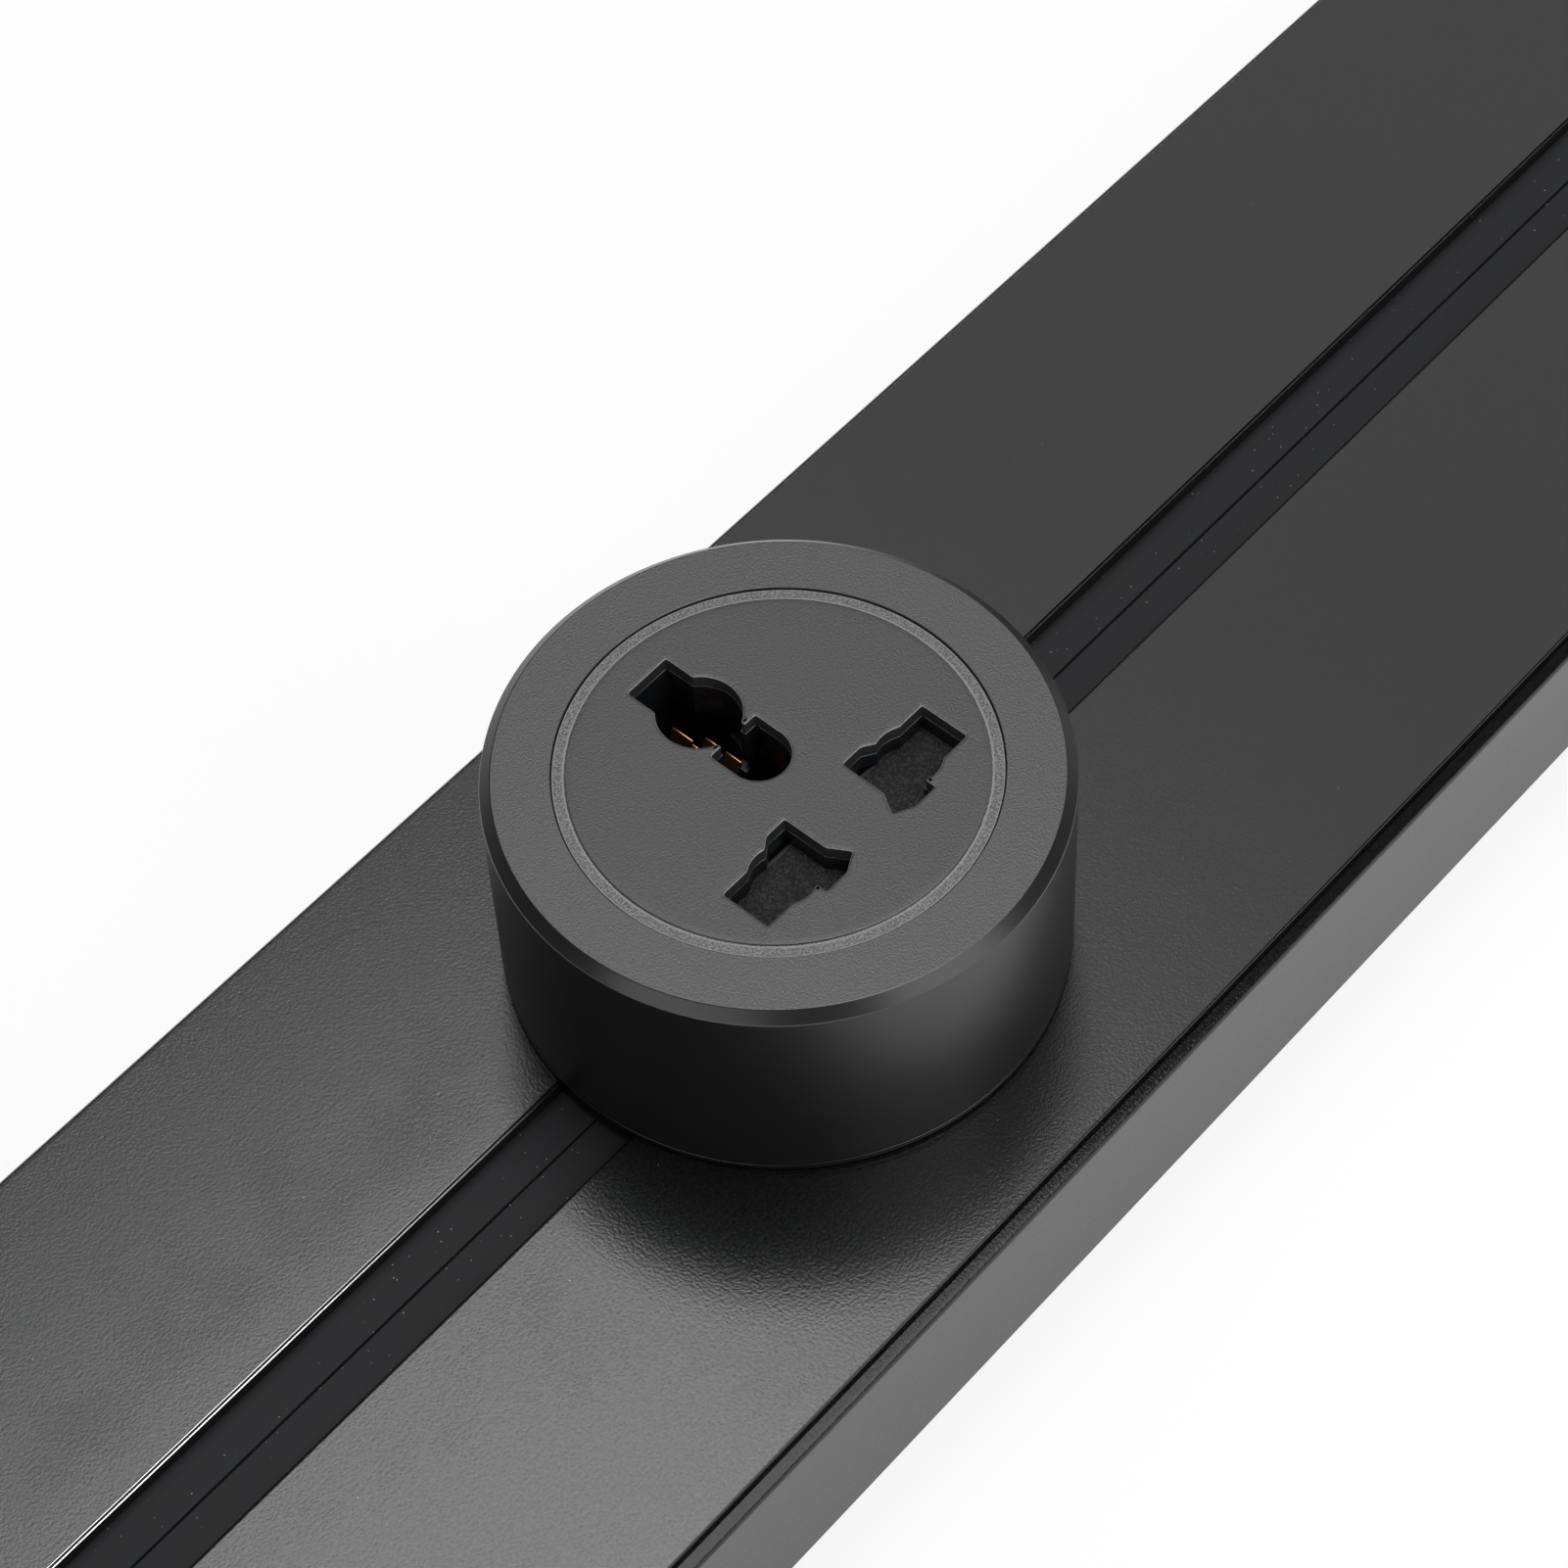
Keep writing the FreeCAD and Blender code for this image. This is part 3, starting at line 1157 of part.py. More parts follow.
def earth_contact():
    """The earth pin's copper clip: a tall leaf with three fingers, a short one, and the tail."""
    body = new_body("earth_contact")
    half = EARTH_HALF
    slab(body, rectangle(-half, half, EARTH_NEAR, EARTH_FAR), TAIL_UNDER, TAIL_CEILING)
    finger = (EARTH_FAR - EARTH_NEAR) / 3
    gap = LEAF_THICKNESS
    leaf(body, -half, EARTH_KNEE, (-EARTH_PINCH, EARTH_TOP), EARTH_FAR - finger, EARTH_FAR)
    for index in (0, 1):
        near = EARTH_NEAR + finger * index
        leaf(body, -half, EARTH_KNEE, (EARTH_TIP, EARTH_TOP), near, near + finger - gap)
    leaf(body, half, EARTH_SHORT_KNEE, (EARTH_PINCH, EARTH_SHORT_TOP), EARTH_FAR - finger, EARTH_FAR)
    side_run = WING_PLACE * 2
    points = [(ZERO, EARTH_NEAR + TAIL_WIDTH / 2), (side_run, side_run), (side_run, ZERO), (ZERO, ZERO)]
    tail(body, points, TAIL_WIDTH)
    return on_track_top(body)


def wing_shape(name, side):
    """A copper blade: down the column, out along the key, and a rounded pad at the bar."""
    half = WING_WIDTH / 2
    outer = WING_PLACE + WING_THICKNESS
    low = PAD_MIDDLE - WING_THICKNESS / 2
    pad_heights = (PAD_MIDDLE - PAD_HEIGHT / 2, PAD_MIDDLE + PAD_HEIGHT / 2)
    strips = [
        (half, (WING_PLACE, outer), (low, TAIL_UNDER)),
        (half, (WING_PLACE, WING_REACH), (low, low + WING_THICKNESS)),
        (PAD_WIDTH / 2, (KEY_REACH, WING_REACH), pad_heights),
    ]
    solids = []
    for index, (width, across, heights) in enumerate(strips):
        span = across if side > 0 else (-across[1], -across[0])
        solids.append(block("%s_strip_%d" % (name, index), (-width, width), span, heights))
    reach = rod(name + "_reach", ZERO, ZERO, KEY_BOTTOM, WING_REACH, TAIL_UNDER - KEY_BOTTOM)
    return overlap(name, join(name + "_whole", *solids), reach)


def key_column():
    """The insulating neck with its collar, the oblong key head and the plunger's bore."""
    collar = rod("collar", ZERO, ZERO, COVER_TOP, COLLAR_RADIUS, COLLAR_THICKNESS)
    neck = rod("neck", ZERO, ZERO, KEY_TOP, NECK_RADIUS, COVER_TOP - KEY_TOP)
    half = KEY_HALF_WIDTH
    bar = block("key_bar", (-half, half), (-KEY_REACH, KEY_REACH), (KEY_BOTTOM, KEY_TOP))
    ends = rod("key_ends", ZERO, ZERO, KEY_BOTTOM, KEY_REACH, KEY_HEIGHT)
    blank = join("key_blank", collar, neck, overlap("key_head", bar, ends))
    bore_low = KEY_BOTTOM + BORE_FLOOR
    bore_radius = PLUNGER_RADIUS + PLUNGER_PLAY
    bore = rod("plunger_bore", ZERO, ZERO, bore_low, bore_radius, COLLAR_TOP - bore_low)
    pin_hole = rod("pin_hole", ZERO, ZERO, KEY_BOTTOM, PLUNGER_PIN + PLUNGER_PLAY, BORE_FLOOR)
    cuts = [bore, pin_hole, wing_shape("wing_slot_near", -1), wing_shape("wing_slot_far", 1)]
    return on_track_top(subtract("key_column", blank, join("key_cuts", *cuts)))


def wing(label, side):
    """A contact wing as a piece of its own."""
    return on_track_top(wing_shape(label, side))


def earth_plunger():
    """The shouldered pin that runs on the earth strip."""
    low = STRIP_TOP + PLUNGER_GAP - TRACK_HEIGHT
    shoulder = KEY_BOTTOM + BORE_FLOOR + PLUNGER_GAP
    return on_track_top(revolved("earth_plunger", [
        (ZERO, low),
        (PLUNGER_PIN, low),
        (PLUNGER_PIN, shoulder),
        (PLUNGER_RADIUS, shoulder),
        (PLUNGER_RADIUS, shoulder + PLUNGER_SHOULDER),
        (ZERO, shoulder + PLUNGER_SHOULDER),
    ]))


def earth_spring():
    """The spring between the plunger's shoulder and the earth contact's tail."""
    start = KEY_BOTTOM + BORE_FLOOR + PLUNGER_GAP + PLUNGER_SHOULDER
    wire = SPRING_WIRE
    radius = PLUNGER_RADIUS - wire - SPRING_PLAY / 2
    spring = coil("earth_spring", radius, wire, TAIL_UNDER - start, EARTH_TURNS)
    return put(spring, ZERO, ZERO, TRACK_HEIGHT + start + wire)


def base_cover():
    """The disc that closes the housing from below, with the arc groove of the turn stop."""
    body = revolved("base_cover", [
        (NECK_RADIUS + COVER_PLAY, COVER_UNDER),
        (HOUSING_INNER - COVER_PLAY, COVER_UNDER),
        (HOUSING_INNER - COVER_PLAY, COVER_TOP),
        (NECK_RADIUS + COVER_PLAY, COVER_TOP),
    ])
    half = STOP_WIDTH / 2 + STOP_PLAY
    depth = STOP_HEIGHT - FOOT_GAP + STOP_PLAY
    inner = STOP_RADIUS - half
    outer = STOP_RADIUS + half
    groove = rectangle(inner, outer, COVER_UNDER, COVER_UNDER + depth)
    sketch = trace(new_sketch(body, "XZ_Plane"), groove)
    sweep = turn(body, "Groove", sketch, 90.0)
    sweep.Midplane = True
    ends = [(STOP_DIAGONAL, STOP_DIAGONAL), (STOP_DIAGONAL, -STOP_DIAGONAL)]
    drill(body, ends, half, COVER_UNDER, COVER_UNDER + depth)
    for x, y in screw_places():
        sink(body, twelve_sided(x, y, PILOT_RADIUS + SCREW_PLAY), COVER_UNDER, COVER_TOP)
        seat_top = COVER_UNDER + SCREW_HEAD_DEPTH
        sink(body, twelve_sided(x, y, SCREW_HEAD + SCREW_PLAY), COVER_UNDER, seat_top)
    return on_track_top(body)


def assembly_screws():
    """Three screws from the base cover into the housing's bosses."""
    screws = []
    for x, y in screw_places():
        head = peg("screw_head", x, y, COVER_UNDER, SCREW_HEAD, SCREW_HEAD_DEPTH)
        shank_length = COVER_THICKNESS + SCREW_LENGTH
        shank = peg("screw_shank", x, y, COVER_UNDER, PILOT_RADIUS - SCREW_PLAY, shank_length)
        screws.append(join("screw", head, shank))
    return on_track_top(group("assembly_screws", screws))


def build():
    """Make every piece, in order from the track outwards."""
    return [
        track_body(),
        top_plate("top_plate_left", 1),
        top_plate("top_plate_right", -1),
        seal_lip("seal_lip_left", 1),
        seal_lip("seal_lip_right", -1),
        bus_liner("bus_liner_left", 1),
        bus_liner("bus_liner_right", -1),
        busbar("neutral_busbar", 1),
        busbar("live_busbar", -1),
        earth_strip(),
        end_cap("end_cap_left", -1),
        end_cap("end_cap_right", 1),
        end_cap_screws(),
        cable_grommet(),
        terminal_block(),
        terminal_screws(),
        foot_plate(),
        housing(),
        socket_face(),
        shutter_guide(),
        shutter(),
        shutter_spring(),
        contact_carrier(),
        pin_contact("live_contact", 1),
        pin_contact("neutral_contact", -1),
        earth_contact(),
        key_column(),
        wing("live_wing", -1),
        wing("neutral_wing", 1),
        earth_plunger(),
        earth_spring(),
        base_cover(),
        assembly_screws(),
    ]


def check(pieces):
    """Stop if any object failed or any piece has no sound shape."""
    for item in doc.Objects:
        if "Invalid" in item.State or "Error" in item.State:
            raise RuntimeError("%s did not build" % item.Name)
    for piece in pieces:
        if piece.Shape.isNull() or not piece.Shape.isValid():
            raise RuntimeError("%s has no sound shape" % piece.Label)


def write(pieces):
    """Save each piece as a STEP file named after it."""
    os.makedirs("parts", exist_ok=True)
    for piece in pieces:
        piece.Shape.exportStep(os.path.join("parts", piece.Label + ".step"))


pieces = build()
doc.recompute()
check(pieces)
write(pieces)
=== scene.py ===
import math

import bmesh
import bpy
from bpy.props import FloatProperty, FloatVectorProperty, IntProperty, PointerProperty
from mathutils import Matrix, Vector


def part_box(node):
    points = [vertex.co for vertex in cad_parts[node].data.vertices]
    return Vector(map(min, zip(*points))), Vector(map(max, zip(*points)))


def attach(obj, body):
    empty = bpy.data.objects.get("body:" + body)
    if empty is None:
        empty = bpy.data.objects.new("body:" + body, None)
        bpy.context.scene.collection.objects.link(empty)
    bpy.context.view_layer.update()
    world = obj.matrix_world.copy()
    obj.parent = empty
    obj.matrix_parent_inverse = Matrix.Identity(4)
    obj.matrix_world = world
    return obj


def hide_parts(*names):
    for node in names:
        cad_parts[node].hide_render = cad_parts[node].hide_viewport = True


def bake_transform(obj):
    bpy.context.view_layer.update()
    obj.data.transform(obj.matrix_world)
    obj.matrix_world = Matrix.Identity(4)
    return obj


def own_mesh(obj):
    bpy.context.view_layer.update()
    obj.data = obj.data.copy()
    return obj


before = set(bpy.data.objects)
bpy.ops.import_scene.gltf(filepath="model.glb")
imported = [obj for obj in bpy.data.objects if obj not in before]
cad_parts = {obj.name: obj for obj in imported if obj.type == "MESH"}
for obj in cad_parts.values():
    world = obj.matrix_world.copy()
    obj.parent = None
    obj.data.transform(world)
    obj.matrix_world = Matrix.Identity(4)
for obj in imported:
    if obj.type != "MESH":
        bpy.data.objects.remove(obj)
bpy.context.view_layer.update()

bl_info = {
    "name": "Power Track Socket",
    "version": (1, 0, 0),
    "blender": (4, 5, 0),
    "location": "3D View > Sidebar > Socket",
    "description": "Dresses the packed power track and its twist-in socket",
    "category": "Object",
}

# Lengths in millimetres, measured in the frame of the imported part

MM = 0.001
TRACK_TOP = 22.0
PLATE_UNDERSIDE = 20.2
TRACK_RUN = 197.5
SLOT_HALF = 4.83
LIP_OPENING = 18.15
INLET_HEIGHT = 13.45
SHELL_FOOT = 23.25
FACE_TOP = 50.2
FACE_UNDERSIDE = 48.7
BOSS_RING = 25.0
BOSS_DIRECTIONS = (90, 210, 330)
PIN_BULGE = (9.5, -9.0)
ROUND_STEPS = 256

# The photograph's viewpoint in metres, and the directions of its view and of its right side

CAMERA_PLACE = (-0.18340, -0.17725, 0.39997)
CAMERA_FORWARD = (0.42208, 0.40632, -0.81040)
CAMERA_RIGHT = (0.65991, -0.75064, -0.03265)

# The floor in metres, just under the track's base so that the two don't share a plane

FLOOR_HALF = 6.0
FLOOR_DROP = 0.0004

WHITE = (1.0, 1.0, 1.0, 1.0)


# Sizes and colours that a user would change


class SocketLook(bpy.types.PropertyGroup):
    """Edges and colours of the object."""

    edge: FloatProperty(
        name="Moulded edge", description="Radius of the small moulded edges",
        default=0.00012, min=0.00002, max=0.0004, subtype="DISTANCE", unit="LENGTH",
    )
    rim_edge: FloatProperty(
        name="Aperture edge", description="Radius round the rims of the pin apertures",
        default=0.00023, min=0.00005, max=0.0003, subtype="DISTANCE", unit="LENGTH",
    )
    corner: FloatProperty(
        name="Aperture corner", description="How far the corners of the pin apertures are rounded",
        default=0.00016, min=0.00005, max=0.0005, subtype="DISTANCE", unit="LENGTH",
    )
    coat: FloatVectorProperty(
        name="Track coat", description="Colour of the powder coat", subtype="COLOR",
        default=(0.0055, 0.0055, 0.0058), min=0.0, max=1.0,
    )
    shell: FloatVectorProperty(
        name="Shell plastic", description="Colour of the socket's shell", subtype="COLOR",
        default=(0.0075, 0.0077, 0.0085), min=0.0, max=1.0,
    )
    face: FloatVectorProperty(
        name="Face plastic", description="Colour of the socket's textured face", subtype="COLOR",
        default=(0.0175, 0.0175, 0.018), min=0.0, max=1.0,
    )
    rubber: FloatVectorProperty(
        name="Lip rubber", description="Colour of the seal lips", subtype="COLOR",
        default=(0.007, 0.0074, 0.0085), min=0.0, max=1.0,
    )
    metal: FloatVectorProperty(
        name="Contact copper", description="Colour of the contacts and bars", subtype="COLOR",
        default=(0.4, 0.2, 0.115), min=0.0, max=1.0,
    )


class SocketStage(bpy.types.PropertyGroup):
    """Floor, lamps and camera."""

    lens: FloatProperty(
        name="Lens", description="Focal length on a 36 mm sensor, in millimetres",
        default=99.75, min=20.0, max=300.0,
    )
    overhead: FloatProperty(
        name="Overhead light", description="Brightness of the soft box over the object",
        default=5.0, min=0.0, max=20.0,
    )
    ceiling: FloatProperty(
        name="Ceiling light", description="Brightness of the large dim screen behind the object",
        default=1.08, min=0.0, max=20.0,
    )
    side_light: FloatProperty(
        name="Side lights", description="Brightness of the two soft boxes beside the camera",
        default=1.7, min=0.0, max=20.0,
    )
    distance: FloatProperty(
        name="Light distance", description="Distance of the soft boxes from the object",
        default=1.0, min=0.3, max=5.0, subtype="DISTANCE", unit="LENGTH",
    )
    fill: FloatProperty(
        name="Room light", description="Strength of the even light of the room",
        default=0.05, min=0.0, max=2.0,
    )
    floor_steps: IntProperty(
        name="Floor parts", description="Divisions along each side of the floor",
        default=8, min=1, max=64,
    )


def look():
    """The chosen edges and colours."""
    return bpy.context.scene.socket_look


# Shader sums


class Wire:
    """A shader value that takes part in Python sums."""

    def __init__(self, wiring, socket):
        self.wiring = wiring
        self.socket = socket

    def math(self, operation, *values):
        """One Math node on these values."""
        settings = {"operation": operation}
        return self.wiring.node("ShaderNodeMath", settings, dict(enumerate(values)))

    def __add__(self, other):
        return self.math("ADD", self, other)

    __radd__ = __add__

    def __sub__(self, other):
        return self.math("SUBTRACT", self, other)

    def __rsub__(self, other):
        return self.math("SUBTRACT", other, self)

    def __mul__(self, other):
        return self.math("MULTIPLY", self, other)

    __rmul__ = __mul__

    def __truediv__(self, other):
        return self.math("DIVIDE", self, other)

    def __pow__(self, other):
        return self.math("POWER", self, other)

    def __abs__(self):
        return self.math("ABSOLUTE", self)

    def above(self, low, high):
        """0 below low, 1 above high, and even between."""
        sockets = {"Value": self, "From Min": low, "From Max": high}
        return self.wiring.node("ShaderNodeMapRange", {"clamp": True}, sockets)

    def near(self, centre, width):
        """1 at centre, falling to 0 at width from it."""
        return 1 - abs(self - centre).above(0.0, width)


class Wiring:
    """A node tree and the one way in which nodes come into it."""

    def __init__(self, owner):
        owner.use_nodes = True
        self.tree = owner.node_tree

    def node(self, kind, settings, inputs, output=0):
        """Add a node of any type with its settings and its sockets' values or links."""
        made = self.tree.nodes.new(kind)
        for name, value in settings.items():
            setattr(made, name, value)
        for name, value in inputs.items():
            self.feed(made.inputs[name], value)
        return Wire(self, made.outputs[output])

    def feed(self, socket, value):
        """Link a wire to a socket, or set the socket to a plain value."""
        if isinstance(value, Wire):
            self.tree.links.new(value.socket, socket)
        else:
            socket.default_value = value

    def show(self, first, second, share):
        """Send a mix of two shaders to the tree's output."""
        mix = self.node("ShaderNodeMixShader", {}, {0: share, 1: first, 2: second})
        for item in self.tree.nodes:
            if item.bl_idname in ("ShaderNodeOutputMaterial", "ShaderNodeOutputWorld"):
                self.feed(item.inputs["Surface"], mix)


class Finish(Wiring):
    """A material and the nodes that make it."""

    def __init__(self, name):
        self.material = bpy.data.materials.new(name)
        super().__init__(self.material)
        self.shader = self.tree.nodes["Principled BSDF"]
        self.place = self.node("ShaderNodeTexCoord", {}, {}, "Object")

    def noise(self, feature, detail=2.0, roughness=0.5, stretch=None):
        """Noise from 0 to 1 whose features have about this size in metres."""
        place = self.place
        if stretch:
            settings = {"operation": "MULTIPLY"}
            place = self.node("ShaderNodeVectorMath", settings, {0: place, 1: stretch})
        sockets = {
            "Vector": place, "Scale": 1.0 / feature, "Detail": detail, "Roughness": roughness,
        }
        return self.node("ShaderNodeTexNoise", {}, sockets, "Fac")

    def specks(self, feature, size):
        """Sparse round specks, 1 in their middle."""
        sockets = {"Vector": self.place, "Scale": 1.0 / feature, "Randomness": 1.0}
        distance = self.node("ShaderNodeTexVoronoi", {"feature": "F1"}, sockets, "Distance")
        return 1 - distance.above(0.0, size)

    def split(self, vector):
        """The three parts of a vector."""
        parts = self.node("ShaderNodeSeparateXYZ", {}, {0: vector})
        return [Wire(self, output) for output in parts.socket.node.outputs]

    def axes(self):
        """The three coordinates of a point, in metres."""
        return self.split(self.place)

    def upward(self):
        """The upward share of the surface's own direction."""
        return self.split(self.node("ShaderNodeNewGeometry", {}, {}, "True Normal"))[2]

    def edges(self):
        """1 on rounded upper edges, 0 on flat tops and upright walls."""
        upward = self.upward()
        return upward.above(0.12, 0.3) - upward.above(0.95, 0.985)

    def blend(self, factor, first, second):
        """Mix two colours; on a Mix node they are sockets 6 and 7, and their result is output 2."""
        one, other = [item if isinstance(item, Wire) else (*item, 1.0) for item in (first, second)]
        return self.node("ShaderNodeMix", {"data_type": "RGBA"}, {0: factor, 6: one, 7: other}, 2)

    def bump(self, height, depth, under=None):
        """A surface relief of this depth in metres."""
        sockets = {"Strength": 1.0, "Distance": depth, "Height": height}
        if under:
            sockets["Normal"] = under
        return self.node("ShaderNodeBump", {}, sockets)

    def set(self, **sockets):
        """Set or link the shader's own sockets."""
        for name, value in sockets.items():
            self.feed(self.shader.inputs[name.replace("_", " ")], value)
        return self.material


def scaled(colour, factor):
    """A colour made lighter or darker."""
    return tuple(min(1.0, channel * factor) for channel in colour)


# Finishes


def coat_finish(name):
    """Fine textured black powder coat, smoother on edges, with a painted highlight: a pale metallic
    strip on the slot edge of the near part.
    """
    finish = Finish(name)
    colour = tuple(look().coat)
    cloud = finish.noise(0.045)
    peel = finish.noise(0.0011, 1.5)
    grain = finish.noise(0.00036, 2.0, 0.7)
    wear = finish.noise(0.006, 3.0)
    dust = finish.specks(0.0035, 0.022)
    edges = finish.edges()
    along, across = finish.axes()[:2]
    # Painted highlight: a pale, metallic strip on the rounded slot edge of the left plate, only at
    # negative x, fading out between 75 and 32 mm from the middle
    beside_slot = across.near(5.0 * MM, 0.5 * MM).above(0.0, 0.4)
    slot_edge_highlight = edges * beside_slot * (1 - along.above(-75 * MM, -32 * MM))
    tone = finish.blend(grain.above(0.3, 0.7), scaled(colour, 0.2), scaled(colour, 1.9))
    tone = finish.blend(cloud * 0.2, tone, scaled(colour, 1.3))
    tone = finish.blend(dust, tone, (0.2, 0.2, 0.2))
    tone = finish.blend(slot_edge_highlight, tone, (0.46, 0.46, 0.47))
    metallic = (0.24 * grain.above(0.3, 0.7) + slot_edge_highlight).above(0.0, 1.0)
    rough = 0.13 + 0.02 * cloud + 0.08 * grain + 0.02 * wear - 0.08 * edges
    relief = finish.bump(grain, 0.000025, finish.bump(peel, 0.000003))
    return finish.set(
        Base_Color=tone, Metallic=metallic, Roughness=rough, Normal=relief, IOR=1.52,
    )


def shell_finish(name):
    """Satin black plastic, smooth on the wall and finely textured on the rim's top, with a painted
    highlight on its rounded edges, chiefly the one below the chamfer.
    """
    finish = Finish(name)
    colour = tuple(look().shell)
    upward = finish.upward()
    top = upward.above(0.9, 0.99)
    bevel = upward.above(0.2, 0.5) - top
    grain = finish.noise(0.00026, 2.0, 0.65)
    broad = finish.noise(0.012)
    fine = finish.noise(0.0011)
    dust = finish.specks(0.005, 0.014)
    tone = finish.blend(broad, scaled(colour, 0.92), scaled(colour, 1.1))
    tone = finish.blend(top, tone, tuple(look().face))
    # Painted highlight: rounded edges tilted about halfway between upright and flat, chiefly the
    # one between wall and chamfer, are eight times lighter
    tone = finish.blend(upward.near(0.45, 0.22), tone, scaled(colour, 8))
    tone = finish.blend(upward.near(0.85, 0.12), tone, scaled(colour, 0.4))
    tone = finish.blend(dust, tone, (0.2, 0.2, 0.2))
    rough = 0.33 + 0.03 * broad + 0.02 * fine + top * (0.02 + 0.06 * grain) - 0.06 * bevel
    relief = finish.bump(grain * top, 0.00006, finish.bump(fine, 0.000003))
    return finish.set(Base_Color=tone, Roughness=rough, Normal=relief, IOR=1.58)


def face_finish(name):
    """Spark textured dark grey plastic, glossier on its edges, with painted light: lighter upright
    walls, light rims, and painted glints and edge highlights in the ring groove.
    """
    finish = Finish(name)
    colour = tuple(look().face)
    x, y, height = finish.axes()
    radius = (x * x + y * y) ** 0.5
    groove = radius.above(21.28 * MM, 21.34 * MM) * (1 - height.above(50.0 * MM, 50.1 * MM))
    grain = finish.noise(0.00026, 2.0, 0.65)
    broad = finish.noise(0.014)
    # Painted glints for the floor of the ring groove
    groove_glints = finish.noise(0.00024, 2.0, 0.7).above(0.42, 0.62)
    edges = finish.edges()
    upward = finish.upward()
    tone = finish.blend(broad, scaled(colour, 0.94), scaled(colour, 1.08))
    # Painted light: the upright walls are a third lighter than the flat top
    tone = finish.blend(1 - upward.above(0.05, 0.15), tone, scaled(colour, 1.3))
    # Painted highlight: the rounded rims of the apertures and the groove are ten times lighter
    tone = finish.blend(upward.near(0.7, 0.25), tone, scaled(colour, 10))
    # Painted light in the ring groove: bright specks as painted glints, and two bright lines along
    # its edges as painted highlights
    sparkle = finish.blend(groove_glints, (0.025, 0.025, 0.025), (0.13, 0.13, 0.128))
    groove_edge_highlights = radius.near(21.5 * MM, 0.15 * MM) + radius.near(22.6 * MM, 0.12 * MM)
    sparkle = finish.blend(groove_edge_highlights, sparkle, (0.16, 0.16, 0.158))
    tone = finish.blend(groove, tone, sparkle)
    rough = 0.34 + 0.06 * grain + 0.03 * broad - 0.14 * edges
    relief = finish.bump(grain, 0.00006)
    return finish.set(Base_Color=tone, Roughness=rough, Normal=relief, IOR=1.5)


def plastic_finish(name, colour, rough=0.5, grain_size=0.0005, depth=0.00001):
    """Moulded plastic with a light grain and uneven gloss."""
    finish = Finish(name)
    grain = finish.noise(grain_size, 2.0, 0.6)
    broad = finish.noise(0.009)
    tone = finish.blend(broad, scaled(colour, 0.88), scaled(colour, 1.14))
    gloss = rough - 0.05 + 0.06 * broad + 0.05 * grain
    relief = finish.bump(grain, depth)
    return finish.set(Base_Color=tone, Roughness=gloss, Normal=relief, IOR=1.48)


def shutter_finish(name):
    """Matt black plastic with a coarse spark texture and a bevel painted paler as a highlight."""
    finish = Finish(name)
    grain = finish.noise(0.0003, 2.0, 0.7)
    glint = grain.above(0.45, 0.75)
    bevel = finish.edges()
    tone = finish.blend(glint, (0.006, 0.006, 0.0062), (0.035, 0.035, 0.035))
    # Painted highlight: the bevel is given a much paler colour
    tone = finish.blend(bevel, tone, (0.07, 0.07, 0.068))
    rough = 0.75 + 0.15 * grain - 0.3 * bevel
    relief = finish.bump(grain, 0.00008)
    return finish.set(Base_Color=tone, Roughness=rough, Normal=relief, IOR=1.3)


def rubber_finish(name):
    """Matt extruded rubber with faint draw lines and a little dust."""
    finish = Finish(name)
    colour = tuple(look().rubber)
    lines = finish.noise(0.0006, 2.0, 0.5, (0.02, 1.0, 1.0))
    grain = finish.noise(0.0003)
    dust = finish.specks(0.0012, 0.08) * finish.noise(0.02, 1.0).above(0.3, 0.45)
    tone = finish.blend(lines, scaled(colour, 0.9), scaled(colour, 1.15))
    tone = finish.blend(dust * 0.8, tone, (0.42, 0.42, 0.42))
    rough = 0.6 + 0.08 * grain + 0.04 * lines
    relief = finish.bump(grain, 0.000006, finish.bump(lines, 0.000004))
    return finish.set(Base_Color=tone, Roughness=rough, Normal=relief, IOR=1.3)


def metal_finish(name, colour, rough, drawn=(0.03, 1.0, 1.0)):
    """Drawn or rolled metal with fine lines and a slight tarnish."""
    finish = Finish(name)
    lines = finish.noise(0.00035, 3.0, 0.6, drawn)
    cloud = finish.noise(0.004, 3.0, 0.6)
    tone = finish.blend(cloud, scaled(colour, 0.72), colour)
    tone = finish.blend(lines * 0.35, tone, scaled(colour, 0.6))
    gloss = rough + 0.12 * cloud + 0.08 * lines
    relief = finish.bump(lines, 0.000004)
    return finish.set(Base_Color=tone, Metallic=1.0, Roughness=gloss, Normal=relief)


def finishes():
    """Every finish, made once and found again by its slot in the record."""
    known = [item for item in bpy.data.materials if item.get("socket_finish")]
    if known:
        return {item["socket_finish"]: item for item in known}
    metal = tuple(look().metal)
    inner = (0.007, 0.008, 0.0095)
    cap = (0.018, 0.018, 0.019)
    zinc = (0.62, 0.63, 0.66)
    spring = (0.58, 0.58, 0.6)
    undrawn = (1.0, 1.0, 1.0)
    made = {
        "track_coat": coat_finish("track_coat"),
        "lip_rubber": rubber_finish("lip_rubber"),
        "liner_plastic": plastic_finish("liner_plastic", (0.05, 0.05, 0.053), 0.5, 0.0008),
        "copper": metal_finish("copper", metal, 0.24),
        "cap_plastic": plastic_finish("cap_plastic", cap, 0.45, 0.0004, 0.00002),
        "zinc_steel": metal_finish("zinc_steel", zinc, 0.26, undrawn),
        "housing_plastic": shell_finish("housing_plastic"),
        "face_plastic": face_finish("face_plastic"),
        "inner_plastic": plastic_finish("inner_plastic", inner, 0.26, 0.0008, 0.000004),
        "shutter_plastic": shutter_finish("shutter_plastic"),
        "block_plastic": plastic_finish("block_plastic", (0.72, 0.71, 0.66), 0.4),
        "spring_steel": metal_finish("spring_steel", spring, 0.3, undrawn),
    }
    for slot, material in made.items():
        material["socket_finish"] = slot
    return made


# Meshes


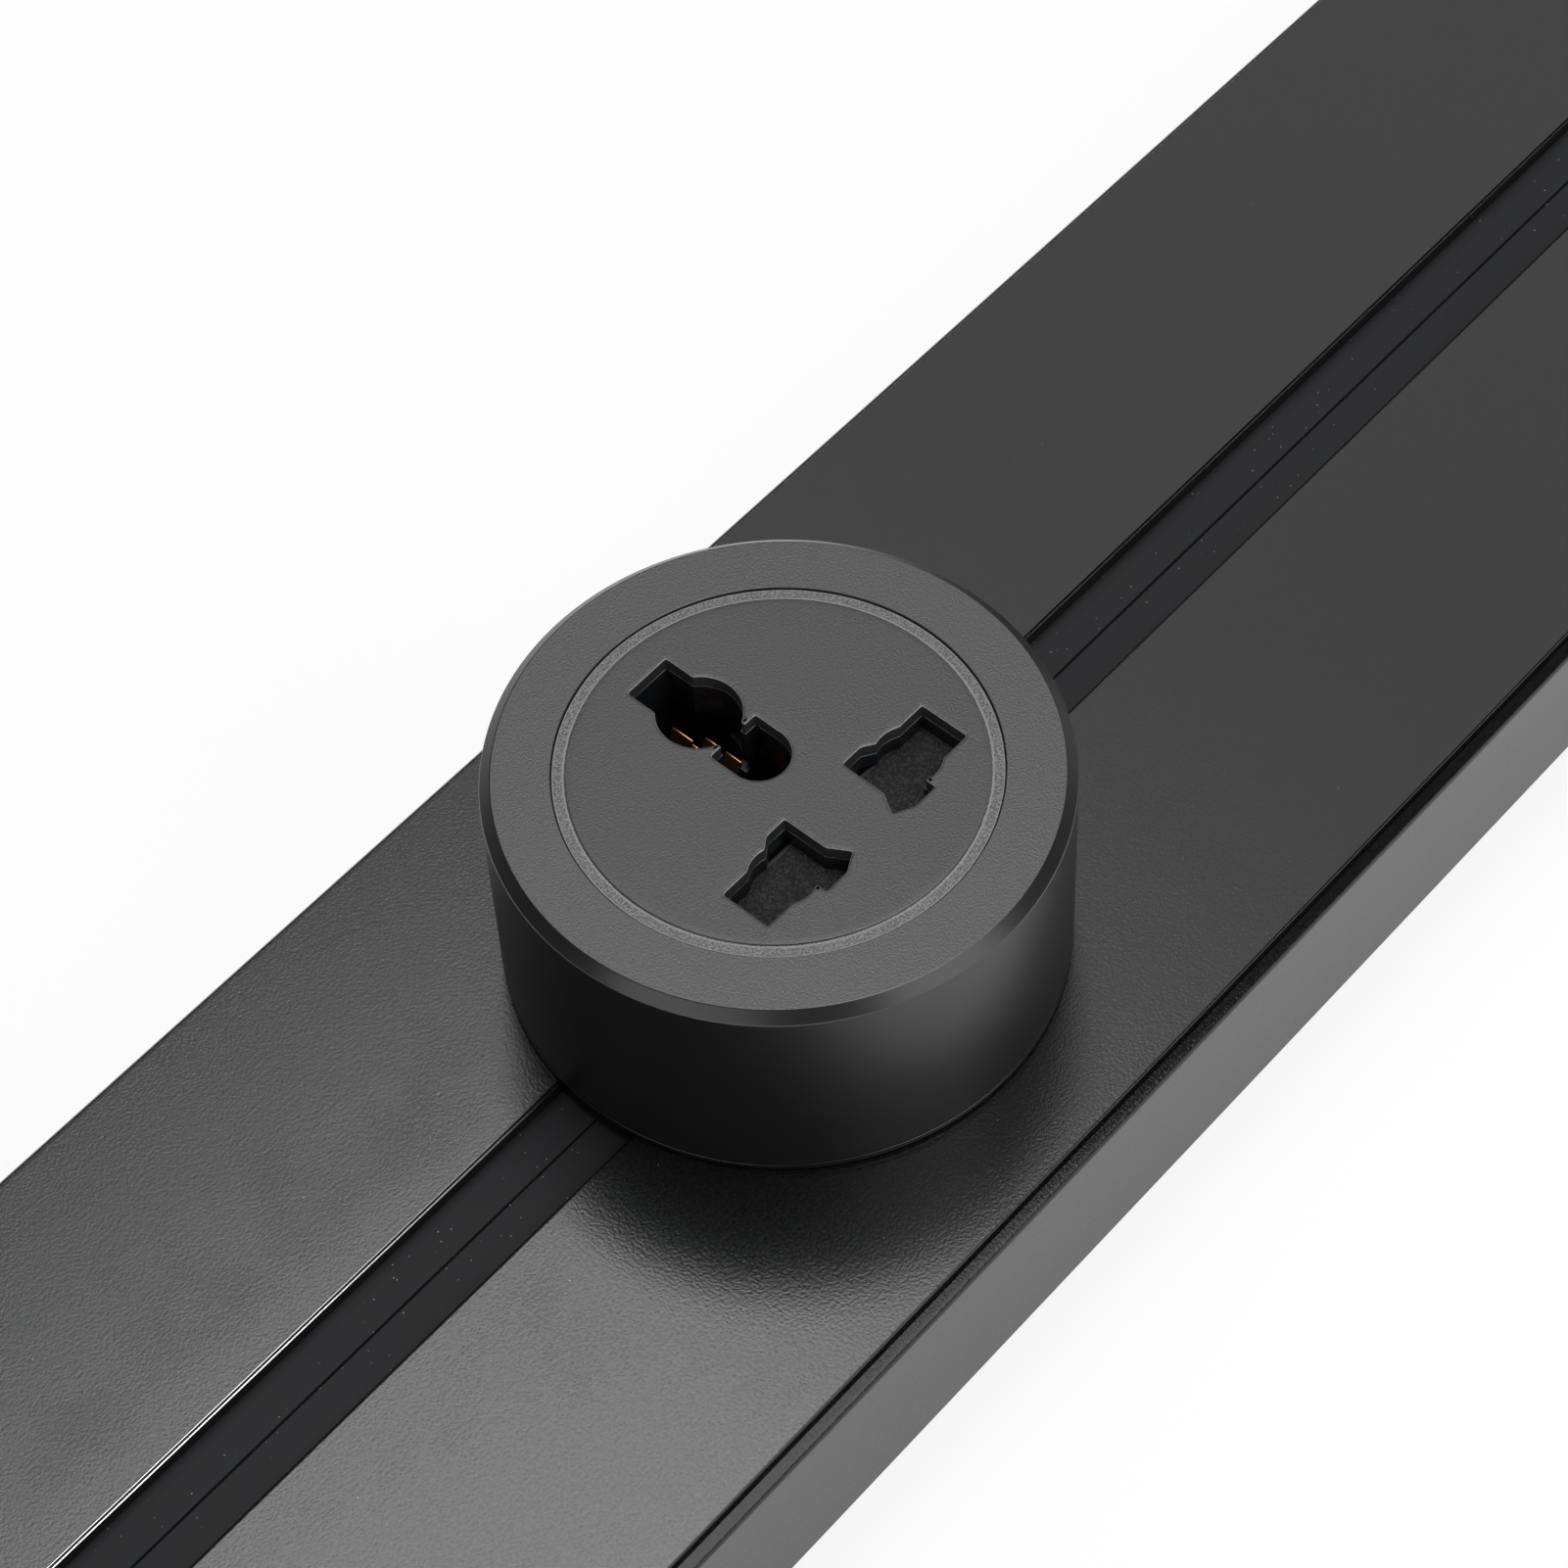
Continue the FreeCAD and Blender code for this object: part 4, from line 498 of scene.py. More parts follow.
def clothe(piece, slot, nodes):
    """Give a finished piece the material of a slot, and hide the solids that it stands for."""
    piece.data.materials.clear()
    piece.data.materials.append(finishes()[slot])
    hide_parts(*nodes)
    return piece


def dress(piece, slot, body, nodes):
    """Give a finished piece the material of a slot, hang it under its body, and hide the solids
    that it stands for.
    """
    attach(clothe(piece, slot, nodes), body)
    return piece


def paint(nodes, slot):
    """Give solids that are shown as they are a finish."""
    for node in nodes:
        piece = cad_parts[node]
        piece.data.materials.clear()
        piece.data.materials.append(finishes()[slot])


def creased(edge, degrees):
    """Whether the two faces at an edge meet at more than this angle."""
    return len(edge.link_faces) == 2 and edge.calc_face_angle(0.0) > math.radians(degrees)


def mesh_of(name, work):
    """Turn working geometry into a mesh, and let it go."""
    mesh = bpy.data.meshes.new(name)
    work.to_mesh(mesh)
    work.free()
    return mesh


def placed(name, data):
    """A new object in the scene that shows a mesh, a lamp or a camera."""
    piece = bpy.data.objects.new(name, data)
    bpy.context.scene.collection.objects.link(piece)
    return piece


def finished_mesh(name, work, weighted=True):
    """Turn working geometry into an object with smooth shading that keeps broad faces flat."""
    bmesh.ops.remove_doubles(work, verts=work.verts, dist=1e-7)
    bmesh.ops.recalc_face_normals(work, faces=work.faces)
    for face in work.faces:
        face.smooth = True
    for edge in work.edges:
        edge.smooth = not creased(edge, 50)
    piece = placed(name, mesh_of(name, work))
    if weighted:
        even = piece.modifiers.new("even_shading", "WEIGHTED_NORMAL")
        even.keep_sharp = True
        even.weight = 100
        apply_modifiers(piece)
    return piece


def apply_modifiers(piece):
    """Bake a piece's modifiers into its mesh."""
    graph = bpy.context.evaluated_depsgraph_get()
    mesh = bpy.data.meshes.new_from_object(piece.evaluated_get(graph))
    old = piece.data
    piece.modifiers.clear()
    piece.data = mesh
    bpy.data.meshes.remove(old)


def loop_of(work, points):
    """A closed ring of vertices, and its edges."""
    ring = [work.verts.new(point) for point in points]
    edges = [work.edges.new((ring[i], ring[(i + 1) % len(ring)])) for i in range(len(ring))]
    return ring, edges


def bridge(work, first, second):
    """Join two rings of the same length by four sided faces."""
    count = len(first)
    for i in range(count):
        j = (i + 1) % count
        work.faces.new((first[i], first[j], second[j], second[i]))


def turned(work, profile, middle=(0.0, 0.0), steps=ROUND_STEPS, closed=False):
    """Turn a profile of radii and heights in mm; returns its first and last rings and edges."""
    rings = []
    for radius, height in profile:
        points = []
        for i in range(steps):
            angle = 2 * math.pi * i / steps
            x = middle[0] + radius * math.cos(angle)
            y = middle[1] + radius * math.sin(angle)
            points.append((x * MM, y * MM, height * MM))
        rings.append(loop_of(work, points))
    pairs = list(zip(rings, rings[1:]))
    if closed:
        pairs.append((rings[-1], rings[0]))
    for low, high in pairs:
        bridge(work, low[0], high[0])
    return rings[0], rings[-1]


def rounded(corners, steps=5):
    """A polygon in mm whose corners have their own radii: x, y, radius."""
    outline = []
    count = len(corners)
    for i, corner in enumerate(corners):
        here = Vector(corner[:2])
        radius = corner[2] if len(corner) > 2 else 0.0
        if radius <= 0:
            outline.append(tuple(here))
            continue
        before = (Vector(corners[i - 1][:2]) - here).normalized()
        after = (Vector(corners[(i + 1) % count][:2]) - here).normalized()
        half = before.angle(after) / 2
        reach = radius / math.tan(half)
        centre = here + (before + after).normalized() * radius / math.sin(half)
        start = here + before * reach - centre
        end = here + after * reach - centre
        sweep = math.atan2(start.x * end.y - start.y * end.x, start.dot(end))
        for step in range(steps + 1):
            angle = sweep * step / steps
            turned_arm = Matrix.Rotation(angle, 2) @ start
            outline.append(tuple(centre + turned_arm))
    return outline


def prism(work, section, start, end, bevel, axis="x"):
    """Extrude a closed section in mm along an axis, with a small bevel at both ends."""
    inner = shrunk(section, bevel)
    stations = ((start, inner), (start + bevel, section), (end - bevel, section), (end, inner))
    rings = []
    for along, outline in stations:
        points = []
        for first, second in outline:
            spots = {
                "x": (along, first, second),
                "y": (first, along, second),
                "z": (first, second, along),
            }
            points.append(Vector(spots[axis]) * MM)
        rings.append(loop_of(work, points))
    skin(work, rings)


def skin(work, rings):
    """Join rings one after another and close both ends."""
    for low, high in zip(rings, rings[1:]):
        bridge(work, low[0], high[0])
    for ring in (rings[0], rings[-1]):
        bmesh.ops.triangle_fill(work, edges=ring[1], use_beauty=True)


def drawn_out(name, section, bevel):
    """An extrusion along the whole track."""
    work = bmesh.new()
    prism(work, section, -TRACK_RUN, TRACK_RUN, bevel)
    return finished_mesh(name, work)


def shrunk(section, inset):
    """A section whose corners are moved inwards by an inset."""
    corners = [Vector(point) for point in section]
    following = corners[1:] + corners[:1]
    area = sum(here.x * after.y - after.x * here.y for here, after in zip(corners, following))
    side = 1.0 if area > 0 else -1.0
    made = []
    for i, here in enumerate(corners):
        before = (here - corners[i - 1]).normalized()
        after = (following[i] - here).normalized()
        first = Vector((-before.y, before.x)) * side
        second = Vector((-after.y, after.x)) * side
        both = first + second
        made.append(tuple(here + both * (inset / max(0.3, both.length_squared / 2))))
    return made


def boss_middles():
    """The middles of the three screw bosses in mm."""
    made = []
    for degrees in BOSS_DIRECTIONS:
        angle = math.radians(degrees)
        made.append((BOSS_RING * math.cos(angle), BOSS_RING * math.sin(angle)))
    return made


def cross(arm, reach):
    """The outline of a cross recess in mm."""
    corner = [(arm, arm), (arm, reach), (-arm, reach)]
    outline = []
    for _ in range(4):
        outline += corner
        corner = [(-y, x) for x, y in corner]
    return outline


def screw(work, place, outward, head, shank, recess, sunk):
    """Add a threaded screw in mm with a recess in its head, whose outer face is at place."""
    made = bmesh.new()
    radius, depth = head
    profile = [(radius - 0.25, 0.0), (radius - 0.08, -0.07), (radius, -0.25), (radius, -depth)]
    core = shank[0] * 0.84
    height = depth + 0.2
    profile += [(core, -depth), (core, -height)]
    while height + 0.8 < shank[1]:
        profile += [(shank[0], -height - 0.3), (core, -height - 0.6)]
        height += 0.6
    profile.append((core * 0.7, -shank[1]))
    top, tip = turned(made, profile, steps=32)
    rim = loop_of(made, [(x * MM, y * MM, 0.0) for x, y in recess])
    floor = loop_of(made, [(x * 0.65 * MM, y * 0.65 * MM, -sunk * MM) for x, y in recess])
    bridge(made, rim[0], floor[0])
    for edges in (top[1] + rim[1], floor[1], tip[1]):
        bmesh.ops.triangle_fill(made, edges=edges, use_beauty=True)
    turn = Vector((0, 0, 1)).rotation_difference(Vector(outward)).to_matrix().to_4x4()
    turn.translation = Vector(place) * MM
    bmesh.ops.transform(made, matrix=turn, verts=made.verts)
    mesh = mesh_of("screw", made)
    work.from_mesh(mesh)
    bpy.data.meshes.remove(mesh)


def coil(node, name, body, axis, turns):
    """A round wire spring that fills a spring node's box along an axis from 0 to 2."""
    steps, groove_edge_highlights, wire = 24, 10, 0.2 * MM
    low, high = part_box(node)
    first, second = [index for index in range(3) if index != axis]
    middle = (low + high) / 2
    radius = min(high[first] - low[first], high[second] - low[second]) / 2 - wire
    count = int(turns * steps)
    climb = (high[axis] - low[axis] - 2 * wire) / count
    work = bmesh.new()
    rings = []
    for i in range(count + 1):
        angle = 2 * math.pi * i / steps
        points = []
        for k in range(groove_edge_highlights):
            round_wire = 2 * math.pi * k / groove_edge_highlights
            reach = radius + wire * math.cos(round_wire)
            point = Vector(middle)
            point[first] += reach * math.cos(angle)
            point[second] += reach * math.sin(angle)
            point[axis] = low[axis] + wire + climb * i + wire * math.sin(round_wire)
            points.append(point)
        rings.append(loop_of(work, points))
    for near, far in zip(rings, rings[1:]):
        bridge(work, near[0], far[0])
    for ring in (rings[0], rings[-1]):
        work.faces.new(ring[0])
    return dress(finished_mesh(name, work), "spring_steel", body, [node])


def soft_copy(node, name, slot, body, edge, angle=28, mesh=None):
    """A copy of a solid, or of a changed mesh of it, whose sharp edges are rounded."""
    work = bmesh.new()
    work.from_mesh(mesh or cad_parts[node].data)
    bmesh.ops.remove_doubles(work, verts=work.verts, dist=1e-6)
    flat = math.radians(0.4)
    bmesh.ops.dissolve_limit(work, angle_limit=flat, verts=work.verts, edges=work.edges)
    if edge > 0:
        sharp = [item for item in work.edges if creased(item, angle)]
        bmesh.ops.bevel(
            work, geom=sharp, offset=edge, offset_type="OFFSET", segments=2, profile=0.5,
            affect="EDGES", clamp_overlap=False, miter_outer="SHARP", miter_inner="SHARP",
        )
    return dress(finished_mesh(name, work), slot, body, [node])


# The pin apertures


def arc(centre, radius, start, end, step=6.0):
    """Points of an arc, from one angle in degrees to another."""
    count = max(2, int(abs(end - start) / step))
    points = []
    for i in range(count + 1):
        angle = math.radians(start + (end - start) * i / count)
        points.append((centre[0] + radius * math.cos(angle), centre[1] + radius * math.sin(angle)))
    return points


def earth_outline():
    """The earth aperture in mm: slot, round lobe, neck and D-shaped lobe."""
    lobe_top = math.degrees(math.acos(2.85 / 4.45))
    lobe_foot = math.degrees(math.acos(1.75 / 4.45))
    half = arc((0.0, 2.6), 3.35, -90, 0)
    half += [(3.35, 6.0), (1.75, 6.0)]
    half += arc((0.0, 10.6), 4.45, -lobe_foot, lobe_top)
    half += [(2.85, 17.7)]
    return half + [(-x, y) for x, y in reversed(half[1:])]


def pin_outline(side):
    """A line or neutral aperture in mm: slot, round bulge, and the two flat blade cuts."""
    slot = math.degrees(math.asin(2.9 / 3.5))
    shoulder = 180 - math.degrees(math.acos(1.1 / 3.5))
    blade = 180 + math.degrees(math.acos(1.3 / 3.5))
    outline = [(15.0, -11.9), (15.0, -6.1)]
    outline += arc(PIN_BULGE, 3.5, slot, shoulder)
    outline += [
        (7.1, -4.75), (4.4, -4.75), (4.4, -10.1), (3.0, -12.4), (5.2, -13.55), (8.2, -13.55),
    ]
    outline += arc(PIN_BULGE, 3.5, blade, 360 - slot)
    if side < 0:
        outline = [(-x, y) for x, y in reversed(outline)]
    return outline


def evened(outline, spacing):
    """The same outline with its points an even distance apart."""
    points = [Vector(point) for point in outline]
    following = points[1:] + points[:1]
    lengths = [(after - here).length for here, after in zip(points, following)]
    count = int(sum(lengths) / spacing)
    step = sum(lengths) / count
    made, index, passed = [], 0, 0.0
    for k in range(count):
        target = k * step
        while passed + lengths[index] < target:
            passed += lengths[index]
            index += 1
        share = (target - passed) / lengths[index]
        made.append(points[index].lerp(following[index], share))
    return made


def softened(outline, reach, spacing=0.11):
    """Round an outline's corners by evening out its points."""
    points = evened(outline, spacing)
    count = len(points)
    for _ in range(max(1, int(round((reach / spacing) ** 2 * 2)))):
        points = [
            points[i] * 0.5 + (points[i - 1] + points[(i + 1) % count]) * 0.25
            for i in range(count)
        ]
    return points


def grown(points, amount):
    """Move an anticlockwise outline outwards along its own directions."""
    count = len(points)
    made = []
    for i in range(count):
        along = (points[(i + 1) % count] - points[i - 1]).normalized()
        made.append(points[i] + Vector((along.y, -along.x)) * amount)
    return made


def quarter(radius, steps=3):
    """Runs and drops of a rounded edge, from the flat above it down to the wall."""
    made = []
    for i in range(steps + 1):
        angle = math.pi / 2 * i / steps
        made.append((radius * (1 - math.sin(angle)), radius * (1 - math.cos(angle))))
    return made


def aperture_walls(work, outline, top, bottom, edge):
    """The rounded rim and the wall of one aperture; returns the top and bottom edges."""
    rings = []
    strip = grown(outline, edge + 0.25)
    rings.append(loop_of(work, [(p.x * MM, p.y * MM, top * MM) for p in strip]))
    for run, drop in quarter(edge):
        points = grown(outline, run)
        rings.append(loop_of(work, [(p.x * MM, p.y * MM, (top - drop) * MM) for p in points]))
    rings.append(loop_of(work, [(p.x * MM, p.y * MM, bottom * MM) for p in outline]))
    for high, low in zip(rings, rings[1:]):
        bridge(work, high[0], low[0])
    return rings[0][1], rings[-1][1]


# Operators


class SOCKET_OT_track(bpy.types.Operator):
    """Dress the channel, its plates, lips and inner parts"""

    bl_idname = "socket.track"
    bl_label = "Track"

    def execute(self, context):
        self.channel()
        for side, label in ((1, "left"), (-1, "right")):
            self.plate(label, side)
            self.lip(label, side)
        paint(("bus_liner_left", "bus_liner_right"), "liner_plastic")
        paint(("neutral_busbar", "live_busbar", "earth_strip"), "copper")
        return {"FINISHED"}

    def channel(self):
        """The channel with the outer top edges of its walls fully rounded."""
        work = bmesh.new()
        for side in (1, -1):
            outline = [(41.6, 19.6), (41.6, 21.1), (40.2, 21.1), (40.2, 21.03)]
            outline += arc((40.35, 19.65), 1.15, 62, 0)
            outline = [(y * side, z) for y, z in outline]
            prism(work, outline, -TRACK_RUN - 1, TRACK_RUN + 1, 0.01)
        cutter = finished_mesh("channel_cutter", work, weighted=False)
        blank = placed("channel_blank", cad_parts["track_body"].data.copy())
        trim = blank.modifiers.new("trim", "BOOLEAN")
        trim.operation = "DIFFERENCE"
        trim.solver = "EXACT"
        trim.object = cutter
        apply_modifiers(blank)
        soft_copy("track_body", "channel", "track_coat", "track", 0.0, mesh=blank.data)
        bpy.data.objects.remove(blank)
        bpy.data.objects.remove(cutter)

    def plate(self, label, side):
        """A top plate with snap legs; only the left one has a fine line beside its slot edge."""
        slot_edge = [(SLOT_HALF, TRACK_TOP, 0.6)]
        if side > 0:
            slot_edge = [
                (5.22, TRACK_TOP, 0.08), (5.19, 21.7), (5.0, 21.7), (4.97, 21.97, 0.04),
                (SLOT_HALF, 21.9, 0.07),
            ]
        under = PLATE_UNDERSIDE
        section = [
            (SLOT_HALF, under, 0.15), (19.15, under), (19.15, 17.0, 0.2), (20.35, 17.0, 0.2),
            (20.35, under), (37.35, under), (37.35, 17.0, 0.2), (39.05, 17.5, 0.15),
            (38.55, 18.0), (38.55, under), (40.05, under, 0.1), (40.05, TRACK_TOP, 0.3),
            *slot_edge,
        ]
        outline = [(y * side, z) for y, z in rounded(section, 8)]
        piece = drawn_out("plate_" + label, outline, 0.1)
        dress(piece, "track_coat", "track", ["top_plate_" + label])

    def lip(self, label, side):
        """A soft seal lip in two halves, whose boat-shaped opening follows the foot."""
        for end, half in ((1, "feed"), (-1, "plain")):
            work = bmesh.new()
            stations = [LIP_OPENING * step / 12 for step in range(13)]
            rings = []
            for along in stations + [TRACK_RUN - 0.05, TRACK_RUN]:
                section = self.lip_section(along)
                if along == TRACK_RUN:
                    section = shrunk(section, 0.05)
                points = [(along * end * MM, y * side * MM, z * MM) for y, z in section]
                rings.append(loop_of(work, points))
            skin(work, rings)
            piece = finished_mesh("lip_%s_%s" % (label, half), work)
            clothe(piece, "lip_rubber", ["seal_lip_" + label])
            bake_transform(piece)

    @staticmethod
    def lip_section(along):
        """A lip's section in mm at a distance from the foot, whose tongue pushes it aside."""
        tongue_curve = 36.25
        widest = 4.87
        bow = math.sqrt(max(0.0, tongue_curve ** 2 - along ** 2))
        aside = max(0.0, widest - tongue_curve + bow)
        tip = 0.07 + aside
        return rounded([
            (tip, PLATE_UNDERSIDE, 0.24), (8.0, PLATE_UNDERSIDE), (8.0, 18.0, 0.2),
            (6.8, 18.0, 0.2), (6.8, 19.1), (5.3, 19.1, 0.05), (tip, 19.4, 0.2 - 0.03 * aside),
        ], 6)


class SOCKET_OT_ends(bpy.types.Operator):
    """Dress the end caps, the grommet and the feed terminal block"""

    bl_idname = "socket.ends"
    bl_label = "Track ends"

    def execute(self, context):
        soft_copy("end_cap_left", "cap_left", "cap_plastic", "track", 0.00025)
        soft_copy("end_cap_right", "cap_right", "cap_plastic", "track", 0.00025)
        soft_copy("terminal_block", "feed_block", "block_plastic", "track", 0.00015)
        self.grommet()
        return {"FINISHED"}

    def grommet(self):
        """The round sleeve of the inlet and its rim, turned on an axis along the track."""
        profile = rounded([
            (3.0, TRACK_RUN, 0.15), (3.6, TRACK_RUN, 0.15), (3.6, 199.0), (5.2, 199.0, 0.1),
            (5.2, 200.0, 0.3), (3.0, 200.0, 0.35),
        ], 5)
        work = bmesh.new()
        turned(work, profile, steps=64, closed=True)
        lie_along = Matrix(((0, 0, 1), (1, 0, 0), (0, 1, 0))).to_4x4()
        lie_along.translation = Vector((0.0, 0.0, INLET_HEIGHT)) * MM
        bmesh.ops.transform(work, matrix=lie_along, verts=work.verts)
        dress(finished_mesh("grommet", work), "lip_rubber", "track", ["cable_grommet"])


class SOCKET_OT_screws(bpy.types.Operator):
    """Make the screws of the end caps, the feed terminals and the base cover"""

    bl_idname = "socket.screws"
    bl_label = "Screws"

    def execute(self, context):
        work = bmesh.new()
        recess = cross(0.32, 1.25)
        for end in (1, -1):
            for across in (36.5, -36.5):
                place = (200.0 * end, across, 4.4)
                screw(work, place, (end, 0, 0), (2.3, 1.4), (1.2, 12.0), recess, 0.9)
        dress(finished_mesh("cap_screws", work), "zinc_steel", "track", ["end_cap_screws"])
        work = bmesh.new()
        slot = [(0.35, 1.7), (-0.35, 1.7), (-0.35, -1.7), (0.35, -1.7)]
        for across in (-9.0, 0.0, 9.0):
            screw(work, (186.0, across, 16.7), (0, 0, 1), (2.2, 1.3), (2.1, 3.85), slot, 0.6)
        dress(finished_mesh("feed_screws", work), "zinc_steel", "track", ["terminal_screws"])
        work = bmesh.new()
        recess = cross(0.3, 1.15)
        for middle in boss_middles():
            place = (*middle, SHELL_FOOT)
            screw(work, place, (0, 0, -1), (2.2, 1.2), (0.95, 12.0), recess, 0.8)
        dress(finished_mesh("cover_screws", work), "zinc_steel", "adapter", ["assembly_screws"])
        return {"FINISHED"}


class SOCKET_OT_foot(bpy.types.Operator):
    """Dress the thin disc under the socket"""

    bl_idname = "socket.foot"
    bl_label = "Foot"

    def execute(self, context):
        soft_copy("foot_plate", "foot_disc", "inner_plastic", "foot", 0.00012)
        return {"FINISHED"}


class SOCKET_OT_shell(bpy.types.Operator):
    """Make the round shell with its chamfered rim"""

    bl_idname = "socket.shell"
    bl_label = "Shell"

    def execute(self, context):
        edge = look().edge / MM
        work = bmesh.new()
        profile = rounded([
            (27.8, SHELL_FOOT, 0.1), (30.0, SHELL_FOOT, 0.25), (30.0, 49.05, 0.35),
            (28.8, FACE_TOP, 0.25), (22.75, FACE_TOP, edge), (22.75, 48.6), (27.8, 48.6),
        ], 5)
        turned(work, profile, closed=True)
        boss = [(1.0, 25.25), (2.9, 25.25), (3.0, 25.35), (3.0, 47.4), (1.0, 47.4), (1.0, 37.25)]
        for middle in boss_middles():
            turned(work, boss, middle, 32, closed=True)
        dress(finished_mesh("shell", work), "housing_plastic", "adapter", ["housing"])
        return {"FINISHED"}


class SOCKET_OT_face(bpy.types.Operator):
    """Make the face disc with its three apertures and the floor of the ring groove"""

    bl_idname = "socket.face"
    bl_label = "Face"

    def execute(self, context):
        edge = look().rim_edge / MM
        corner = look().corner / MM
        groove_edge = look().edge / MM
        work = bmesh.new()
        tops, bottoms = [], []
        for outline in (earth_outline(), pin_outline(1), pin_outline(-1)):
            soft = softened(outline, corner)
            top, bottom = aperture_walls(work, soft, FACE_TOP, FACE_UNDERSIDE, edge)
            tops += top
            bottoms += bottom
        profile = rounded([
            (20.6, FACE_TOP), (21.3, FACE_TOP, groove_edge), (21.3, 49.95, 0.1),
            (22.65, 49.95, 0.06), (22.65, 48.6, 0.05), (24.6, 48.6, 0.1), (24.6, 47.5, 0.1),
            (20.0, 47.5, 0.1), (20.0, FACE_UNDERSIDE), (19.5, FACE_UNDERSIDE),
        ], 4)
        outer, inner = turned(work, profile)
        bmesh.ops.triangle_fill(work, edges=tops + outer[1], use_beauty=True)
        bmesh.ops.triangle_fill(work, edges=bottoms + inner[1], use_beauty=True)
        dress(finished_mesh("face_disc", work), "face_plastic", "adapter", ["socket_face"])
        return {"FINISHED"}


class SOCKET_OT_contacts(bpy.types.Operator):
    """Dress the shutter, its guide, the contacts and the twist-in key"""

    bl_idname = "socket.contacts"
    bl_label = "Contacts and key"

    def execute(self, context):
        soft_copy("shutter_guide", "guide", "inner_plastic", "adapter", 0.00008)
        soft_copy("shutter", "slide_cover", "shutter_plastic", "shutter", 0.00012)
        soft_copy("contact_carrier", "carrier", "inner_plastic", "adapter", 0.00012)
        self.earth_clip()
        piece = coil("shutter_spring", "shutter_coil", "adapter", 1, 6)
        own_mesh(piece)
        piece = coil("earth_spring", "plunger_coil", "adapter", 2, 5.5)
        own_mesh(piece)
        paint(("key_column", "base_cover"), "inner_plastic")
        paint(("live_contact", "neutral_contact", "live_wing", "neutral_wing"), "copper")
        paint(("earth_plunger",), "copper")
        return {"FINISHED"}

    def earth_clip(self):
        """The earth pin's clip: three tall leaves and a short one of thin sheet, and the tail."""
        work = bmesh.new()
        sheet = 0.32
        root = 28.6
        # How far aside and how high each leaf bends, where its tip is, and its start and end
        leaves = (
            (-3.2, 40.0, -0.9, 45.7, 11.0, 13.8), (-3.2, 40.0, 0.3, 45.7, 5.4, 7.6),
            (-3.2, 40.0, 0.3, 45.7, 8.2, 10.4), (3.2, 36.4, 0.9, 42.0, 11.0, 13.8),
        )
        for knee, waist, tip, top, near, far in leaves:
            inward = math.copysign(sheet, -knee)
            section = [
                (knee, root), (knee, waist, 1.0), (tip, top, 0.12), (tip + inward, top, 0.12),
                (knee + inward, waist, 0.8), (knee + inward, root),
            ]
            prism(work, rounded(section, 4), near, far, 0.08, "y")
        base = [(-3.2, 5.4), (3.2, 5.4), (3.2, 13.8), (-3.2, 13.8)]
        neck = [(-0.6, 5.4), (5.5, 3.7), (5.5, 5.5), (0.6, 7.2)]
        tail = [(-0.9, -0.9), (5.5, -0.9), (5.5, 5.5), (3.7, 5.5), (3.7, 0.9), (-0.9, 0.9)]
        prism(work, base, 28.4, 29.0, 0.06, "z")
        prism(work, neck, 28.41, 28.99, 0.04, "z")
        prism(work, tail, 28.42, 28.98, 0.04, "z")
        dress(finished_mesh("earth_clip", work), "copper", "adapter", ["earth_contact"])


